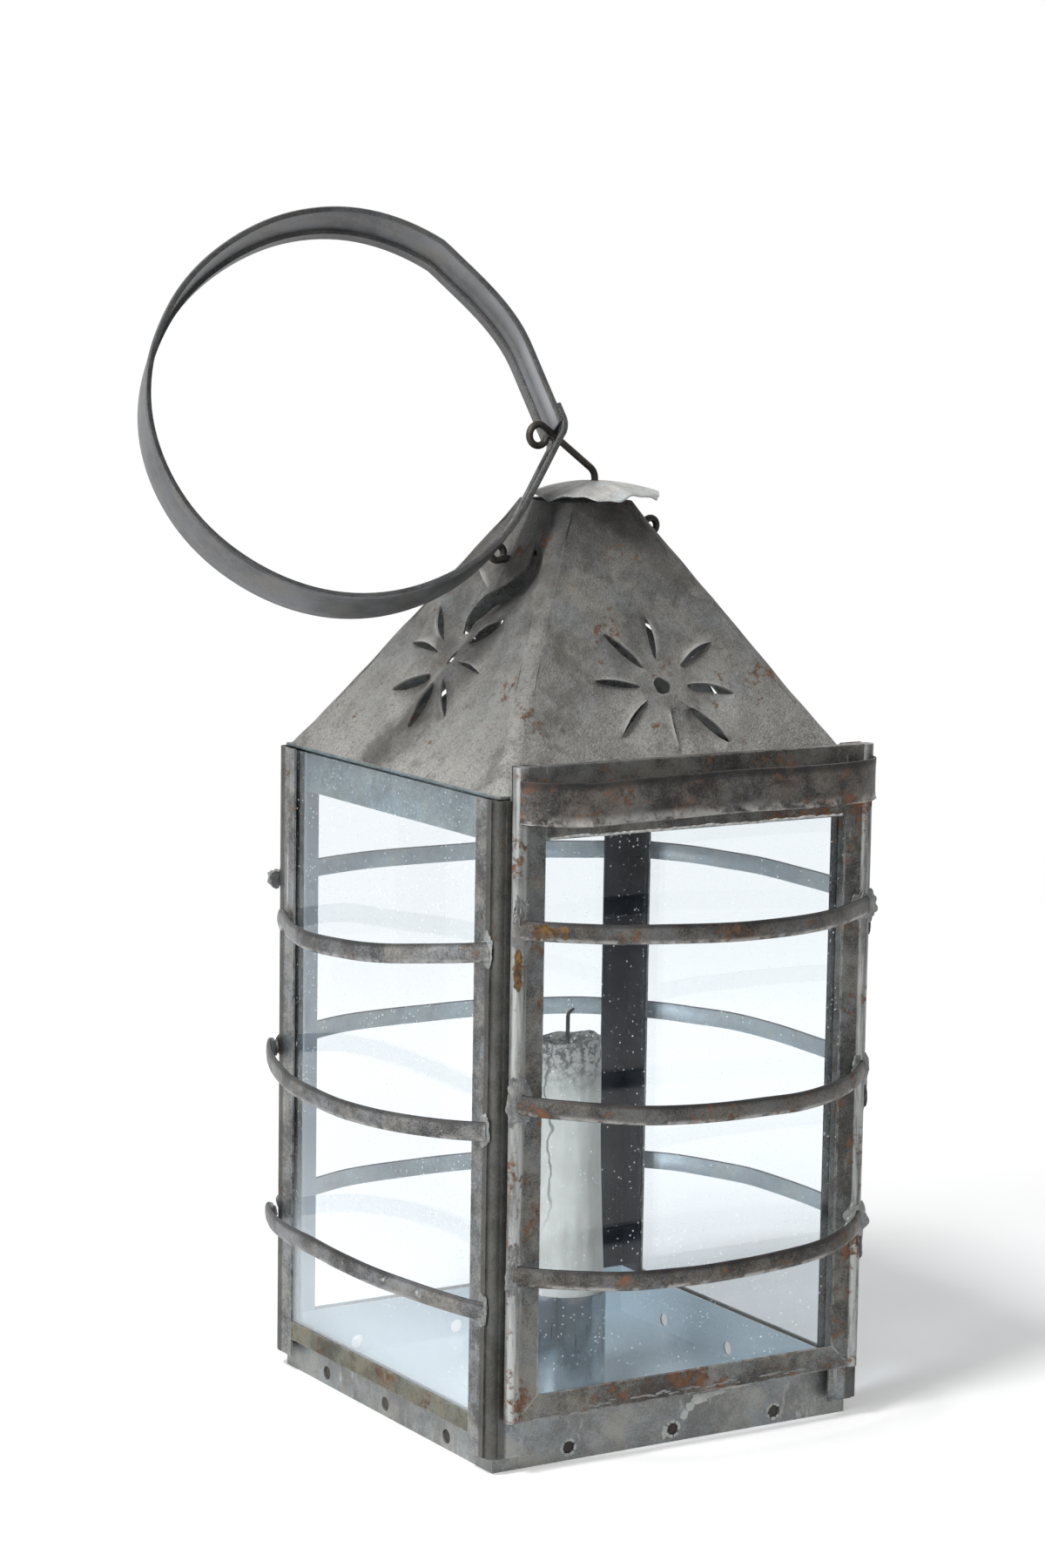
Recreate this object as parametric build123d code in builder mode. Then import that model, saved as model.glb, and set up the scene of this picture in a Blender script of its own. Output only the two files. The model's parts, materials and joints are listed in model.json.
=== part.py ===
from build123d import *
from math import atan2, cos, degrees, radians, sin, tan
import os

# Square candle lantern of folded tinned sheet, in millimetres.
# The origin is the middle of the tray's underside, +Z is up, the door is on the -Y side.

os.makedirs("parts", exist_ok=True)

# Stock
sheet = 0.7
glass = 2.0
wire_radius = 1.05
fit_play = 0.3
glass_play = 0.1

# Body
body_width = 130.0
tray_inset = 3.3
tray_height = 16.0
post_bottom = 5.0
eave_height = 194.8
air_hole_diameter = 4.3
air_hole_height = 3.8
air_hole_spacing = 36.0
air_holes_per_side = 3

# Corner posts, measured from the outside corner
lip_reach = 11.5
lip_start = 3.9
lip_step = 0.5
inner_leg_reach = 13.5
corner_radius = 1.8
channel_gap = 2.8

# Lower rails and panes on the three fixed sides
rail_bottom = 10.5
rail_height = 5.7
pane_edge_play = 0.5

# Guard bars
bar_height = 5.6
bar_thickness = 1.2
bar_bow = 24.0
bar_foot = 3.0
bar_end_inset = 4.4
side_bar_heights = {"upper": 150.0, "middle": 99.5, "lower": 48.5}
door_bar_heights = {"upper": 156.8, "middle": 106.2, "lower": 58.2}
crooked_bar_drop = 6.0

# Roof
eave_inset = 2.2
roof_top_width = 26.4
roof_rise = 76.7
ridge_radius = 2.6
skirt_height = 13.5
flower_rise = 26.2
front_flower_shift = 1.9
left_flower_shift = -3.2
left_flower_lift = 5.9
petal_count = 8
petal_start_angle = 86.0
petal_inner_radius = 8.0
petal_outer_radius = 23.5
petal_width = 2.6
flower_hole_diameter = 5.2

# Cap
cap_radius = 20.5
cap_rise = 4.2
cap_lift = 0.15
cap_shift_x = 4.7
cap_shift_y = -2.9
cap_scallops = 11
scallop_radius = 3.2
scallop_depth = 1.3

# Wires
cross_wire_drop = 14.0
cross_wire_tilt = 7.0
cross_wire_left_reach = 26.9
cross_wire_right_reach = 27.0
cross_eye_radius = 2.2
eye_radius = 3.1
eye_sweep = 300.0
hanger_bend_rise = 3.2
hanger_bend_radius = 4.2
hanger_length = 18.0
hanger_lean = 54.0
hanger_turn = 183.0
eye_lead = 5.2

# Ring handle
ring_radius = 58.0
ring_width = 20.0
ring_strip = 0.8
ring_hem_width = 2.6
ring_hem_thickness = 2.2
ring_tip_angle = 23.0
ring_lean = 25.0
ring_turn = 17.0
ring_droop = 5.5
ring_hole_diameter = 6.6

# Door
stile_outer = 6.0
stile_lip_reach = 13.6
bead_radius = 2.2
tongue_outer = 5.2
door_rise = 8.7
door_rail_height = 7.2
door_plate_height = 20.2
door_sill_depth = 0.9
pull_height = 12.2
pull_thickness = 1.0
pull_drop = 15.5
pull_stand_off = 3.4
pull_bow = 6.4
pull_bend_radius = 2.4

# Candle
socket_radius = 13.0
socket_wall = 0.5
socket_height = 31.0
candle_height = 110.5
candle_top_radius = 10.0
candle_neck_height = 70.0
candle_neck_radius = 10.5
wick_radius = 0.9
wick_rise = 4.0
wick_bend_radius = 2.6
wick_bend_turn = 75.0

# Derived places
half_width = body_width / 2
eave_width = body_width - 2 * eave_inset
post_top = eave_height - sheet - fit_play
pane_top = eave_height - sheet - pane_edge_play
roof_top_height = eave_height + roof_rise
cross_wire_height = roof_top_height - cross_wire_drop
door_top = eave_height + door_rise
pull_bottom = door_top - pull_drop
channel_back = sheet + channel_gap
inner_face = channel_back + sheet
tray_width = body_width - 2 * tray_inset
slope_angle = degrees(atan2(roof_rise, (eave_width - roof_top_width) / 2))
side_names = ("front", "right", "back", "left")
sides = {name: 360 * place / len(side_names) for place, name in enumerate(side_names)}
fixed_sides = ("left", "right", "back")


def side_plane(turn, depth=0.0):
    """Upright plane of one side: x along the side, y up, normal outward."""
    along = Vector(1, 0, 0).rotate(Axis.Z, turn)
    outward = Vector(0, -1, 0).rotate(Axis.Z, turn)
    return Plane(origin=outward * (half_width - depth), x_dir=along, z_dir=outward)


def level_plane(turn, height):
    """Level plane turned about the lantern's axis."""
    return Plane((0, 0, height)).rotated((0, 0, turn))


def finish_piece(piece, name):
    """Label a finished piece and write it."""
    piece.part.label = name
    export_step(piece.part, f"parts/{name}.step")


def upright_panel(left, right, bottom, top):
    """Rectangle on a side plane between two x and two heights."""
    with Locations(((left + right) / 2, (bottom + top) / 2)):
        Rectangle(right - left, top - bottom)


def corner_leg(start, end, near, far):
    """One leg along each side of a corner, measured from the outside corner."""
    with Locations((-half_width + start, -half_width + near)):
        Rectangle(end - start, far - near, align=Align.MIN)
    with Locations((-half_width + near, -half_width + start)):
        Rectangle(far - near, end - start, align=Align.MIN)


def curl(plane, radius, start, turn):
    """Round wire eye in a plane, as two arcs."""
    steps = [radians(start + turn * step / 4) for step in range(5)]
    points = [plane.from_local_coords((radius * cos(a), radius * sin(a))) for a in steps]
    ThreePointArc(points[0], points[1], points[2])
    ThreePointArc(points[2], points[3], points[4])


# Base tray: a folded pan with air holes near its floor and a front sill for the door
sill_reach = half_width - lip_reach - fit_play
with BuildPart() as base_tray:
    with BuildSketch():
        Rectangle(tray_width, tray_width)
    extrude(amount=tray_height)
    with BuildSketch(Plane.XY.offset(sheet)):
        Rectangle(tray_width - 2 * sheet, tray_width - 2 * sheet)
    extrude(amount=tray_height, mode=Mode.SUBTRACT)
    for turn in sides.values():
        with BuildSketch(side_plane(turn, tray_inset)):
            with Locations((0, air_hole_height)):
                with GridLocations(air_hole_spacing, 1, air_holes_per_side, 1):
                    Circle(air_hole_diameter / 2)
        extrude(amount=-2 * sheet, mode=Mode.SUBTRACT)
    with BuildSketch(side_plane(sides["front"], door_sill_depth)):
        upright_panel(-sill_reach, sill_reach, tray_height - sheet, tray_height)
    extrude(amount=-(tray_inset - door_sill_depth))
finish_piece(base_tray, "base_tray")

# Four corner posts: an outer angle with lips and an inner angle, joined by a folded corner tube
post_names = ("front_left", "front_right", "back_right", "back_left")
for name, turn in zip(post_names, sides.values()):
    with BuildPart() as post:
        with BuildSketch(level_plane(turn, post_bottom)):
            corner_leg(lip_step, inner_face, lip_step, lip_step + sheet)
            corner_leg(lip_start - sheet, lip_reach, 0, sheet)
            corner_leg(lip_start - sheet, lip_start, 0, lip_step + sheet)
            outer_corner = vertices().sort_by_distance((-half_width, -half_width))[0]
            fillet(outer_corner, radius=corner_radius)
        extrude(amount=post_top - post_bottom)
        with BuildSketch(level_plane(turn, tray_height)):
            corner_leg(channel_back, inner_leg_reach, channel_back, inner_face)
            corner_leg(channel_back, inner_face, lip_step, inner_face)
        extrude(amount=post_top - tray_height)
    finish_piece(post, f"post_{name}")

# Lower rails and fixed panes
rail_reach = half_width - lip_reach
pane_reach = half_width - inner_face - pane_edge_play
pane_bottom = rail_bottom + sheet
for side in fixed_sides:
    turn = sides[side]
    with BuildPart() as rail:
        with BuildSketch(side_plane(turn)):
            upright_panel(-rail_reach, rail_reach, rail_bottom, rail_bottom + rail_height)
        extrude(amount=-sheet)
        with BuildSketch(side_plane(turn)):
            upright_panel(-rail_reach, rail_reach, rail_bottom, pane_bottom)
        extrude(amount=-tray_inset)
    finish_piece(rail, f"rail_{side}")

    with BuildPart() as pane:
        with BuildSketch(side_plane(turn, sheet + fit_play)):
            upright_panel(-pane_reach, pane_reach, pane_bottom, pane_top)
        extrude(amount=-glass)
    finish_piece(pane, f"pane_{side}")


def guard_bar(plane, reach):
    """Bowed strip whose two feet lie flat on a plane's face."""
    inner_bow = bar_bow - bar_thickness
    with BuildPart() as bar:
        with BuildSketch(Plane(plane.origin, x_dir=plane.x_dir, z_dir=-plane.y_dir)):
            with BuildLine():
                ThreePointArc((-reach, 0), (0, bar_bow), (reach, 0))
                Line((reach, 0), (reach - bar_foot, 0))
                ThreePointArc((reach - bar_foot, 0), (0, inner_bow), (bar_foot - reach, 0))
                Line((bar_foot - reach, 0), (-reach, 0))
            make_face()
        extrude(amount=bar_height / 2, both=True)
    return bar


# Guard bars of the fixed sides, soldered on the post lips; one hangs crooked
bar_reach = half_width - bar_end_inset
for side in fixed_sides:
    for level, height in side_bar_heights.items():
        drop = crooked_bar_drop if (side, level) == ("left", "upper") else 0
        flat = side_plane(sides[side])
        along = flat.x_dir * (2 * bar_reach) + Vector(0, 0, drop)
        seat = Plane(flat.origin + Vector(0, 0, height - drop / 2), x_dir=along, z_dir=flat.z_dir)
        finish_piece(guard_bar(seat, bar_reach), f"guard_{side}_{level}")

# Roof: a folded pyramid with a hidden skirt, punched flowers and two wire holes
wall_run = sheet / sin(radians(slope_angle))
skirt_width = body_width - 2 * inner_face
roof_wire_plane = Plane((0, 0, cross_wire_height)).rotated((0, -cross_wire_tilt, 0))


def pyramid(base_width, top_width, radius, mode):
    """Frustum between the eave and the roof's top, with rounded ridges."""
    with BuildSketch(Plane.XY.offset(eave_height)) as base:
        RectangleRounded(base_width, base_width, radius)
    with BuildSketch(Plane.XY.offset(roof_top_height)) as top:
        RectangleRounded(top_width, top_width, radius)
    loft(sections=[base.sketch.face(), top.sketch.face()], mode=mode)


flower_shifts = {"front": (front_flower_shift, 0), "left": (left_flower_shift, left_flower_lift)}
petal_length = petal_outer_radius - petal_inner_radius
petal_middle = (petal_outer_radius + petal_inner_radius) / 2
with BuildSketch() as petal:
    with BuildLine():
        ThreePointArc((-petal_length / 2, 0), (0, petal_width / 2), (petal_length / 2, 0))
        ThreePointArc((petal_length / 2, 0), (0, -petal_width / 2), (-petal_length / 2, 0))
    make_face()

with BuildPart() as roof:
    pyramid(eave_width, roof_top_width, ridge_radius, Mode.ADD)
    inner_eave = eave_width - 2 * wall_run
    inner_top = roof_top_width - 2 * wall_run
    pyramid(inner_eave, inner_top, ridge_radius - sheet, Mode.SUBTRACT)
    with BuildSketch(Plane.XY.offset(eave_height)):
        RectangleRounded(eave_width, eave_width, ridge_radius)
        Rectangle(skirt_width - 2 * sheet, skirt_width - 2 * sheet, mode=Mode.SUBTRACT)
    extrude(amount=-sheet)
    with BuildSketch(Plane.XY.offset(eave_height)):
        Rectangle(skirt_width, skirt_width)
        Rectangle(skirt_width - 2 * sheet, skirt_width - 2 * sheet, mode=Mode.SUBTRACT)
    extrude(amount=-skirt_height)
    for side, turn in sides.items():
        along = Vector(1, 0, 0).rotate(Axis.Z, turn)
        outward = Vector(0, -1, 0).rotate(Axis.Z, turn)
        shift, lift = flower_shifts.get(side, (0, 0))
        rise = flower_rise + lift
        reach = (eave_width + (roof_top_width - eave_width) * rise / roof_rise) / 2
        normal = outward * sin(radians(slope_angle)) + Vector(0, 0, cos(radians(slope_angle)))
        middle = outward * reach + along * shift + Vector(0, 0, eave_height + rise)
        face = Plane(middle, x_dir=along, z_dir=normal)
        with BuildSketch(face.offset(sheet)):
            Circle(flower_hole_diameter / 2)
            with PolarLocations(petal_middle, petal_count, petal_start_angle):
                add(petal.sketch)
        extrude(amount=-3 * sheet, mode=Mode.SUBTRACT)
    with BuildSketch(Plane(roof_wire_plane.origin, x_dir=(0, 1, 0), z_dir=roof_wire_plane.x_dir)):
        Circle(wire_radius + fit_play)
    extrude(amount=eave_width / 2, both=True, mode=Mode.SUBTRACT)
finish_piece(roof, "roof")

# Cap: a shallow scalloped dome that lies on the roof's top corners
cap_rim_height = roof_top_height + cap_lift
cap_top_height = cap_rim_height + cap_rise
cap_centre = Vector(cap_shift_x, cap_shift_y, cap_rim_height)
with BuildPart() as cap:
    with BuildSketch(Plane(cap_centre, x_dir=(1, 0, 0), z_dir=(0, -1, 0))):
        with BuildLine():
            Line((0, cap_rise), (0, cap_rise + sheet))
            TangentArc((0, cap_rise + sheet), (cap_radius, sheet), tangent=(1, 0))
            Line((cap_radius, sheet), (cap_radius, 0))
            TangentArc((0, cap_rise), (cap_radius, 0), tangent=(1, 0))
        make_face()
    revolve(axis=Axis(cap_centre, (0, 0, 1)))
    with BuildSketch(Plane(cap_centre).offset(-sheet)):
        Circle(wire_radius + fit_play)
        with PolarLocations(cap_radius + scallop_radius - scallop_depth, cap_scallops):
            Circle(scallop_radius)
    extrude(amount=cap_rise + 3 * sheet, mode=Mode.SUBTRACT)
finish_piece(cap, "cap")

# Cross wire through the roof, curled into an eye at each end
with BuildPart() as cross_wire:
    wire_start = roof_wire_plane.from_local_coords((-cross_wire_left_reach, 0, 0))
    wire_end = roof_wire_plane.from_local_coords((cross_wire_right_reach, 0, 0))
    upright = Plane(roof_wire_plane.origin, x_dir=roof_wire_plane.x_dir, z_dir=(0, -1, 0))
    with BuildLine() as wire_path:
        left_centre = upright.from_local_coords((-cross_wire_left_reach, cross_eye_radius))
        curl(Plane(left_centre, upright.x_dir, upright.z_dir), cross_eye_radius, -90 - eye_sweep, eye_sweep)
        Line(wire_start, wire_end)
        right_centre = upright.from_local_coords((cross_wire_right_reach, cross_eye_radius))
        curl(Plane(right_centre, upright.x_dir, upright.z_dir), cross_eye_radius, -90, eye_sweep)
    with BuildSketch(Plane(wire_path.line @ 0, z_dir=wire_path.line % 0)):
        Circle(wire_radius)
    sweep(path=wire_path.line)
finish_piece(cross_wire, "cross_wire")

# Hanger wire: hooked on the cross wire, up through the cap, then leaning over to the ring
hook_rise = cap_shift_x * tan(radians(cross_wire_tilt))
hook_drop = eye_radius - 2 * wire_radius - fit_play
hook_centre = Vector(cap_shift_x, cap_shift_y + eye_radius, cross_wire_height + hook_rise - hook_drop)
hook_plane = Plane(hook_centre, x_dir=(0, -1, 0), z_dir=(-1, 0, 0))
bend_point = Vector(cap_shift_x, cap_shift_y, cap_top_height + sheet + hanger_bend_rise)
lean_flat = Vector(1, 0, 0).rotate(Axis.Z, hanger_turn)
lean_way = lean_flat * sin(radians(hanger_lean)) + Vector(0, 0, cos(radians(hanger_lean)))
ring_hole_point = bend_point + lean_way * hanger_length
eye_start = ring_hole_point + lean_way * eye_lead
eye_normal = Vector(0, 0, 1).cross(lean_flat)
eye_side = eye_normal.cross(lean_way)
eye_plane = Plane(eye_start + eye_side * eye_radius, x_dir=-eye_side, z_dir=eye_normal)
stem_bottom = hook_plane.from_local_coords((eye_radius, 0))
with BuildPart() as hanger_wire:
    with BuildLine() as hanger_path:
        curl(hook_plane, eye_radius, -eye_sweep, eye_sweep)
        FilletPolyline(stem_bottom, bend_point, eye_start, radius=hanger_bend_radius)
        curl(eye_plane, eye_radius, 0, eye_sweep)
    with BuildSketch(Plane(hanger_path.line @ 0, z_dir=hanger_path.line % 0)):
        Circle(wire_radius)
    sweep(path=hanger_path.line)
finish_piece(hanger_wire, "hanger_wire")

# Ring handle: a hemmed strip bent round, its ends lapped to a blunt tip where the hanger goes through
ring_flat = Vector(0, -1, 0).rotate(Axis.Z, -ring_turn)
ring_normal = ring_flat * cos(radians(ring_lean)) + Vector(0, 0, sin(radians(ring_lean)))
ring_level = Vector(0, 0, 1).cross(ring_flat)
ring_tip_way = ring_level.rotate(Axis((0, 0, 0), ring_normal), -ring_droop)
ring_tip_reach = ring_radius / cos(radians(ring_tip_angle))
ring_plane = Plane(ring_hole_point - ring_tip_way * ring_tip_reach, x_dir=ring_tip_way, z_dir=ring_normal)


def ring_outline(thickness):
    """Teardrop band of a given thickness, centred on the strip's middle line."""
    for grow, mode in ((thickness / 2, Mode.ADD), (-thickness / 2, Mode.SUBTRACT)):
        radius = ring_radius + grow
        tangent = radius * cos(radians(ring_tip_angle)), radius * sin(radians(ring_tip_angle))
        tip = radius / cos(radians(ring_tip_angle)), 0
        with BuildSketch(mode=Mode.PRIVATE) as drop:
            with BuildLine():
                CenterArc((0, 0), radius, ring_tip_angle, 360 - 2 * ring_tip_angle)
                Polyline((tangent[0], -tangent[1]), tip, tangent)
            make_face()
        add(drop.sketch, mode=mode)


with BuildPart() as ring_handle:
    with BuildSketch(ring_plane):
        ring_outline(ring_strip)
    extrude(amount=ring_width / 2, both=True)
    for way in (-1, 1):
        with BuildSketch(ring_plane.offset(way * (ring_width - ring_hem_width) / 2)):
            ring_outline(ring_hem_thickness)
        extrude(amount=ring_hem_width / 2, both=True)
    with BuildSketch(Plane(ring_hole_point, x_dir=ring_normal, z_dir=ring_tip_way)):
        Circle(ring_hole_diameter / 2)
    extrude(amount=ring_hole_diameter, both=True, mode=Mode.SUBTRACT)
finish_piece(ring_handle, "ring_handle")

# Sliding door: stiles that hook behind the post lips, a mitred bottom rail, a top plate and a pane
back_face = fit_play
back_leg = back_face + sheet
glass_face = back_leg + glass + 2 * glass_play
front_face = glass_face + sheet
bead_centre = fit_play + bead_radius
bead_edge = stile_outer + bead_radius
web_start = lip_reach + fit_play
tongue_depth = sheet + fit_play
door_bottom = tray_height + fit_play
door_pane_reach = half_width - bead_edge - fit_play


def door_box(hand, start, end, near, far):
    """Plan rectangle on the door, from the corner inward and from the lip's face outward."""
    with Locations((hand * (half_width - (start + end) / 2), -half_width - (near + far) / 2)):
        Rectangle(end - start, far - near)


for name, hand in (("left", -1), ("right", 1)):
    with BuildPart() as stile:
        with BuildSketch(Plane.XY.offset(door_bottom)):
            door_box(hand, tongue_outer, web_start + sheet, -tongue_depth - sheet, -tongue_depth)
            door_box(hand, web_start, web_start + sheet, -tongue_depth - sheet, back_leg)
            door_box(hand, stile_outer, web_start + sheet, back_face, back_leg)
            with Locations((hand * (half_width - stile_outer), -half_width - bead_centre)):
                Circle(bead_radius)
        extrude(amount=door_top - door_bottom)
        inner_edge = half_width - stile_lip_reach
        bead_side = half_width - stile_outer
        mitre_rise = bead_side - inner_edge - bead_radius
        with BuildSketch(side_plane(sides["front"], -glass_face)):
            with BuildLine():
                Polyline(
                    (hand * bead_side, door_bottom),
                    (hand * (bead_side - bead_radius), door_bottom),
                    (hand * (bead_side - bead_radius), door_bottom + door_rail_height - mitre_rise),
                    (hand * inner_edge, door_bottom + door_rail_height),
                    (hand * inner_edge, door_top),
                    (hand * bead_side, door_top),
                    close=True,
                )
            make_face()
        extrude(amount=sheet)
    finish_piece(stile, f"door_stile_{name}")

rail_end = half_width - bead_edge
with BuildPart() as door_bottom_rail:
    with BuildSketch(side_plane(sides["front"], -glass_face)):
        with BuildLine():
            Polyline(
                (-rail_end, door_bottom),
                (rail_end, door_bottom),
                (rail_end, door_bottom + door_rail_height - mitre_rise),
                (inner_edge, door_bottom + door_rail_height),
                (-inner_edge, door_bottom + door_rail_height),
                (-rail_end, door_bottom + door_rail_height - mitre_rise),
                close=True,
            )
        make_face()
    extrude(amount=sheet)
    with BuildSketch(side_plane(sides["front"], -back_leg)):
        upright_panel(-rail_end, rail_end, door_bottom, door_bottom + sheet)
    extrude(amount=glass_face - back_leg)
finish_piece(door_bottom_rail, "door_bottom_rail")

with BuildPart() as door_top_plate:
    with BuildSketch(side_plane(sides["front"], -glass_face)):
        upright_panel(-inner_edge, inner_edge, door_top - door_plate_height, door_top)
    extrude(amount=sheet)
    with BuildSketch(side_plane(sides["front"], -back_leg)):
        upright_panel(-rail_end, rail_end, door_top - sheet, door_top)
    extrude(amount=glass_face - back_leg)
finish_piece(door_top_plate, "door_top_plate")

with BuildPart() as door_pane:
    with BuildSketch(side_plane(sides["front"], -back_leg - glass_play)):
        upright_panel(-door_pane_reach, door_pane_reach, door_bottom + sheet, door_top - sheet - fit_play)
    extrude(amount=glass)
finish_piece(door_pane, "door_pane")

# Door pull: a bowed band with rounded shoulders across the top of the door
pull_reach = half_width - bead_edge - pull_thickness
with BuildPart() as door_pull:
    with BuildSketch(Plane((0, -half_width - front_face, pull_bottom))):
        with BuildLine():
            shoulder = -pull_stand_off
            Line((-pull_reach, 0), (-pull_reach, shoulder))
            ThreePointArc((-pull_reach, shoulder), (0, shoulder - pull_bow), (pull_reach, shoulder))
            Line((pull_reach, shoulder), (pull_reach, 0))
            fillet(vertices().filter_by_position(Axis.Y, shoulder, shoulder), radius=pull_bend_radius)
            offset(amount=pull_thickness, side=Side.RIGHT)
        make_face()
    extrude(amount=pull_height)
finish_piece(door_pull, "door_pull")

# Guard bars of the door, soldered on the stiles' front lips
door_seat = side_plane(sides["front"], -front_face)
for level, height in door_bar_heights.items():
    seat = Plane(door_seat.origin + Vector(0, 0, height), x_dir=door_seat.x_dir, z_dir=door_seat.z_dir)
    finish_piece(guard_bar(seat, half_width - bead_edge - fit_play), f"guard_door_{level}")

# Candle socket, candle and wick
candle_foot_radius = socket_radius - socket_wall - fit_play
with BuildPart() as candle_socket:
    with BuildSketch(Plane.XY.offset(sheet)):
        Circle(socket_radius)
        Circle(socket_radius - socket_wall, mode=Mode.SUBTRACT)
    extrude(amount=socket_height)
finish_piece(candle_socket, "candle_socket")

with BuildPart() as candle:
    with BuildSketch(Plane.XZ):
        with BuildLine():
            Polyline(
                (0, sheet + fit_play),
                (candle_foot_radius, sheet + fit_play),
                (candle_foot_radius, sheet + socket_height),
                (candle_neck_radius, candle_neck_height),
                (candle_top_radius, candle_height),
                (0, candle_height),
                close=True,
            )
        make_face()
    revolve(axis=Axis.Z)
finish_piece(candle, "candle")

with BuildPart() as wick:
    with BuildLine(Plane.XZ) as wick_path:
        Line((0, candle_height), (0, candle_height + wick_rise))
        CenterArc((wick_bend_radius, candle_height + wick_rise), wick_bend_radius, 180, -wick_bend_turn)
    with BuildSketch(Plane.XY.offset(candle_height)):
        Circle(wick_radius)
    sweep(path=wick_path.line)
finish_piece(wick, "wick")
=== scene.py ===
# %% [markdown]
# # A punched tin candle lantern
#
# This lesson dresses a lantern whose pieces already exist as solids: tray, corner posts, panes,
# guard strips, roof, cap, wires, carrying ring, sliding door and candle. The solids give the sizes
# and the joints. Here the sheet gets its dents, the ring its hems, the strips their worn edges and
# the candle its melted top, and every surface gets a finish made of shader nodes.
#
# The first cell loads the solids. Everything after it is placed in the same frame, in metres, so a
# piece goes where the solids say. The box of the solids is kept, to set beside the dressed box at the end.

# %% Load the solids
import json
import math

import bmesh
import bpy
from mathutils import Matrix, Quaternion, Vector, noise
from mathutils.geometry import delaunay_2d_cdt


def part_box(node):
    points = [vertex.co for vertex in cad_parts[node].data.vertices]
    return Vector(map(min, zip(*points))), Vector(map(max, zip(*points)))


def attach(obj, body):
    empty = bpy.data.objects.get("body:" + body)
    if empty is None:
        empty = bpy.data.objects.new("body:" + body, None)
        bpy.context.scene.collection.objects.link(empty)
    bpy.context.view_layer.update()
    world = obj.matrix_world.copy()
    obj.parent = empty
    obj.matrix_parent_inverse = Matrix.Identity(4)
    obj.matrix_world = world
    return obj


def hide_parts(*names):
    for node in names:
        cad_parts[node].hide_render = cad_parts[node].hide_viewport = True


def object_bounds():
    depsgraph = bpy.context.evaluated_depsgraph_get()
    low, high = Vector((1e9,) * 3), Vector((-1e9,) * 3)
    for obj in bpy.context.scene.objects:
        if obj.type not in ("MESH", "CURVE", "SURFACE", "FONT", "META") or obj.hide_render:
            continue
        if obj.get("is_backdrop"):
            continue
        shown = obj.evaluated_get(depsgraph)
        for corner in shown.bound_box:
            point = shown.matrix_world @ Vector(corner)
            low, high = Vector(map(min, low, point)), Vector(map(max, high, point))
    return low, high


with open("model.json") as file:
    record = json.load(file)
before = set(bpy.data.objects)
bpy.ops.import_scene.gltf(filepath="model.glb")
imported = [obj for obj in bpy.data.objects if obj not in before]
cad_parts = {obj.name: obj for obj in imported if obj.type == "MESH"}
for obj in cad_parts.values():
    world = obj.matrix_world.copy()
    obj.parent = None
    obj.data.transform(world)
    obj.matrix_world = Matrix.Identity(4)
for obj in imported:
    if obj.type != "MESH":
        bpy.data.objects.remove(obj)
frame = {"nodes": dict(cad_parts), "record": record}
solid_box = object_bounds()
MM = 0.001
UP = Vector((0, 0, 1))
scene = bpy.context.scene

# %% [markdown]
# ## The camera
#
# The lantern is seen from its front left corner, a little from above, through a long lens. A camera
# can be placed by hand or worked out from known points. Here the corners of the tray, posts and roof
# gave its direction, its distance and a slight roll, so those few numbers are all that is needed.

# %% Camera
CAMERA_AZIMUTH = math.radians(-31.59)
CAMERA_ELEVATION = math.radians(8.24)
CAMERA_ROLL = math.radians(0.87)
CAMERA_DISTANCE = 1.1778
CAMERA_TARGET = Vector((-12.35, 7.54, 186.07)) * MM
LENS_MM = 90.44
SENSOR_MM = 36
NEAREST_SEEN = 0.05

level = math.cos(CAMERA_ELEVATION)
view_way = Vector((-math.sin(CAMERA_AZIMUTH) * level, math.cos(CAMERA_AZIMUTH) * level,
                   -math.sin(CAMERA_ELEVATION)))
camera = bpy.data.objects.new("photo_camera", bpy.data.cameras.new("photo_camera"))
camera.data.lens = LENS_MM
camera.data.sensor_width = SENSOR_MM
camera.data.clip_start = NEAREST_SEEN
camera.location = CAMERA_TARGET - view_way * CAMERA_DISTANCE
camera.rotation_mode = "QUATERNION"
camera.rotation_quaternion = view_way.to_track_quat("-Z", "Y") @ Quaternion((0, 0, 1), CAMERA_ROLL)
scene.collection.objects.link(camera)
scene.camera = camera
print("camera stands at", [round(c, 3) for c in camera.location])

# %% [markdown]
# ## Small helpers for shader nodes
#
# Node trees get long in code. These helpers keep each node on one line: a value that is another
# node's socket is linked, and any other value is typed into the socket.

# %% Node helpers
def node(tree, kind, values=None, **settings):
    """Add one shader node and fill its inputs."""
    made = tree.nodes.new(kind)
    for name, setting in settings.items():
        setattr(made, name, setting)
    for name, value in (values or {}).items():
        if isinstance(value, bpy.types.NodeSocket):
            tree.links.new(value, made.inputs[name])
        else:
            made.inputs[name].default_value = value
    return made


def maths(tree, operation, first, second=0.0):
    """One sum on two values."""
    return node(tree, "ShaderNodeMath", {0: first, 1: second}, operation=operation).outputs[0]


def times(tree, first, second):
    """Product of two values or masks."""
    return maths(tree, "MULTIPLY", first, second)


def plus(tree, first, second):
    """Sum of two values."""
    return maths(tree, "ADD", first, second)


def most(tree, first, second):
    """The larger of two values or masks."""
    return maths(tree, "MAXIMUM", first, second)


def vector_maths(tree, operation, first, second=None):
    """One sum on two vectors, or a vector and a scale; a dot product or a length gives a plain value."""
    values = {0: first}
    if second is not None:
        values["Scale" if operation == "SCALE" else 1] = second
    made = node(tree, "ShaderNodeVectorMath", values, operation=operation)
    return made.outputs["Value" if operation in ("DOT_PRODUCT", "LENGTH") else "Vector"]


def axes_of(tree, vector):
    """X, Y and Z of a vector as single values."""
    return node(tree, "ShaderNodeSeparateXYZ", {0: vector}).outputs


print("node helpers ready")

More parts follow.
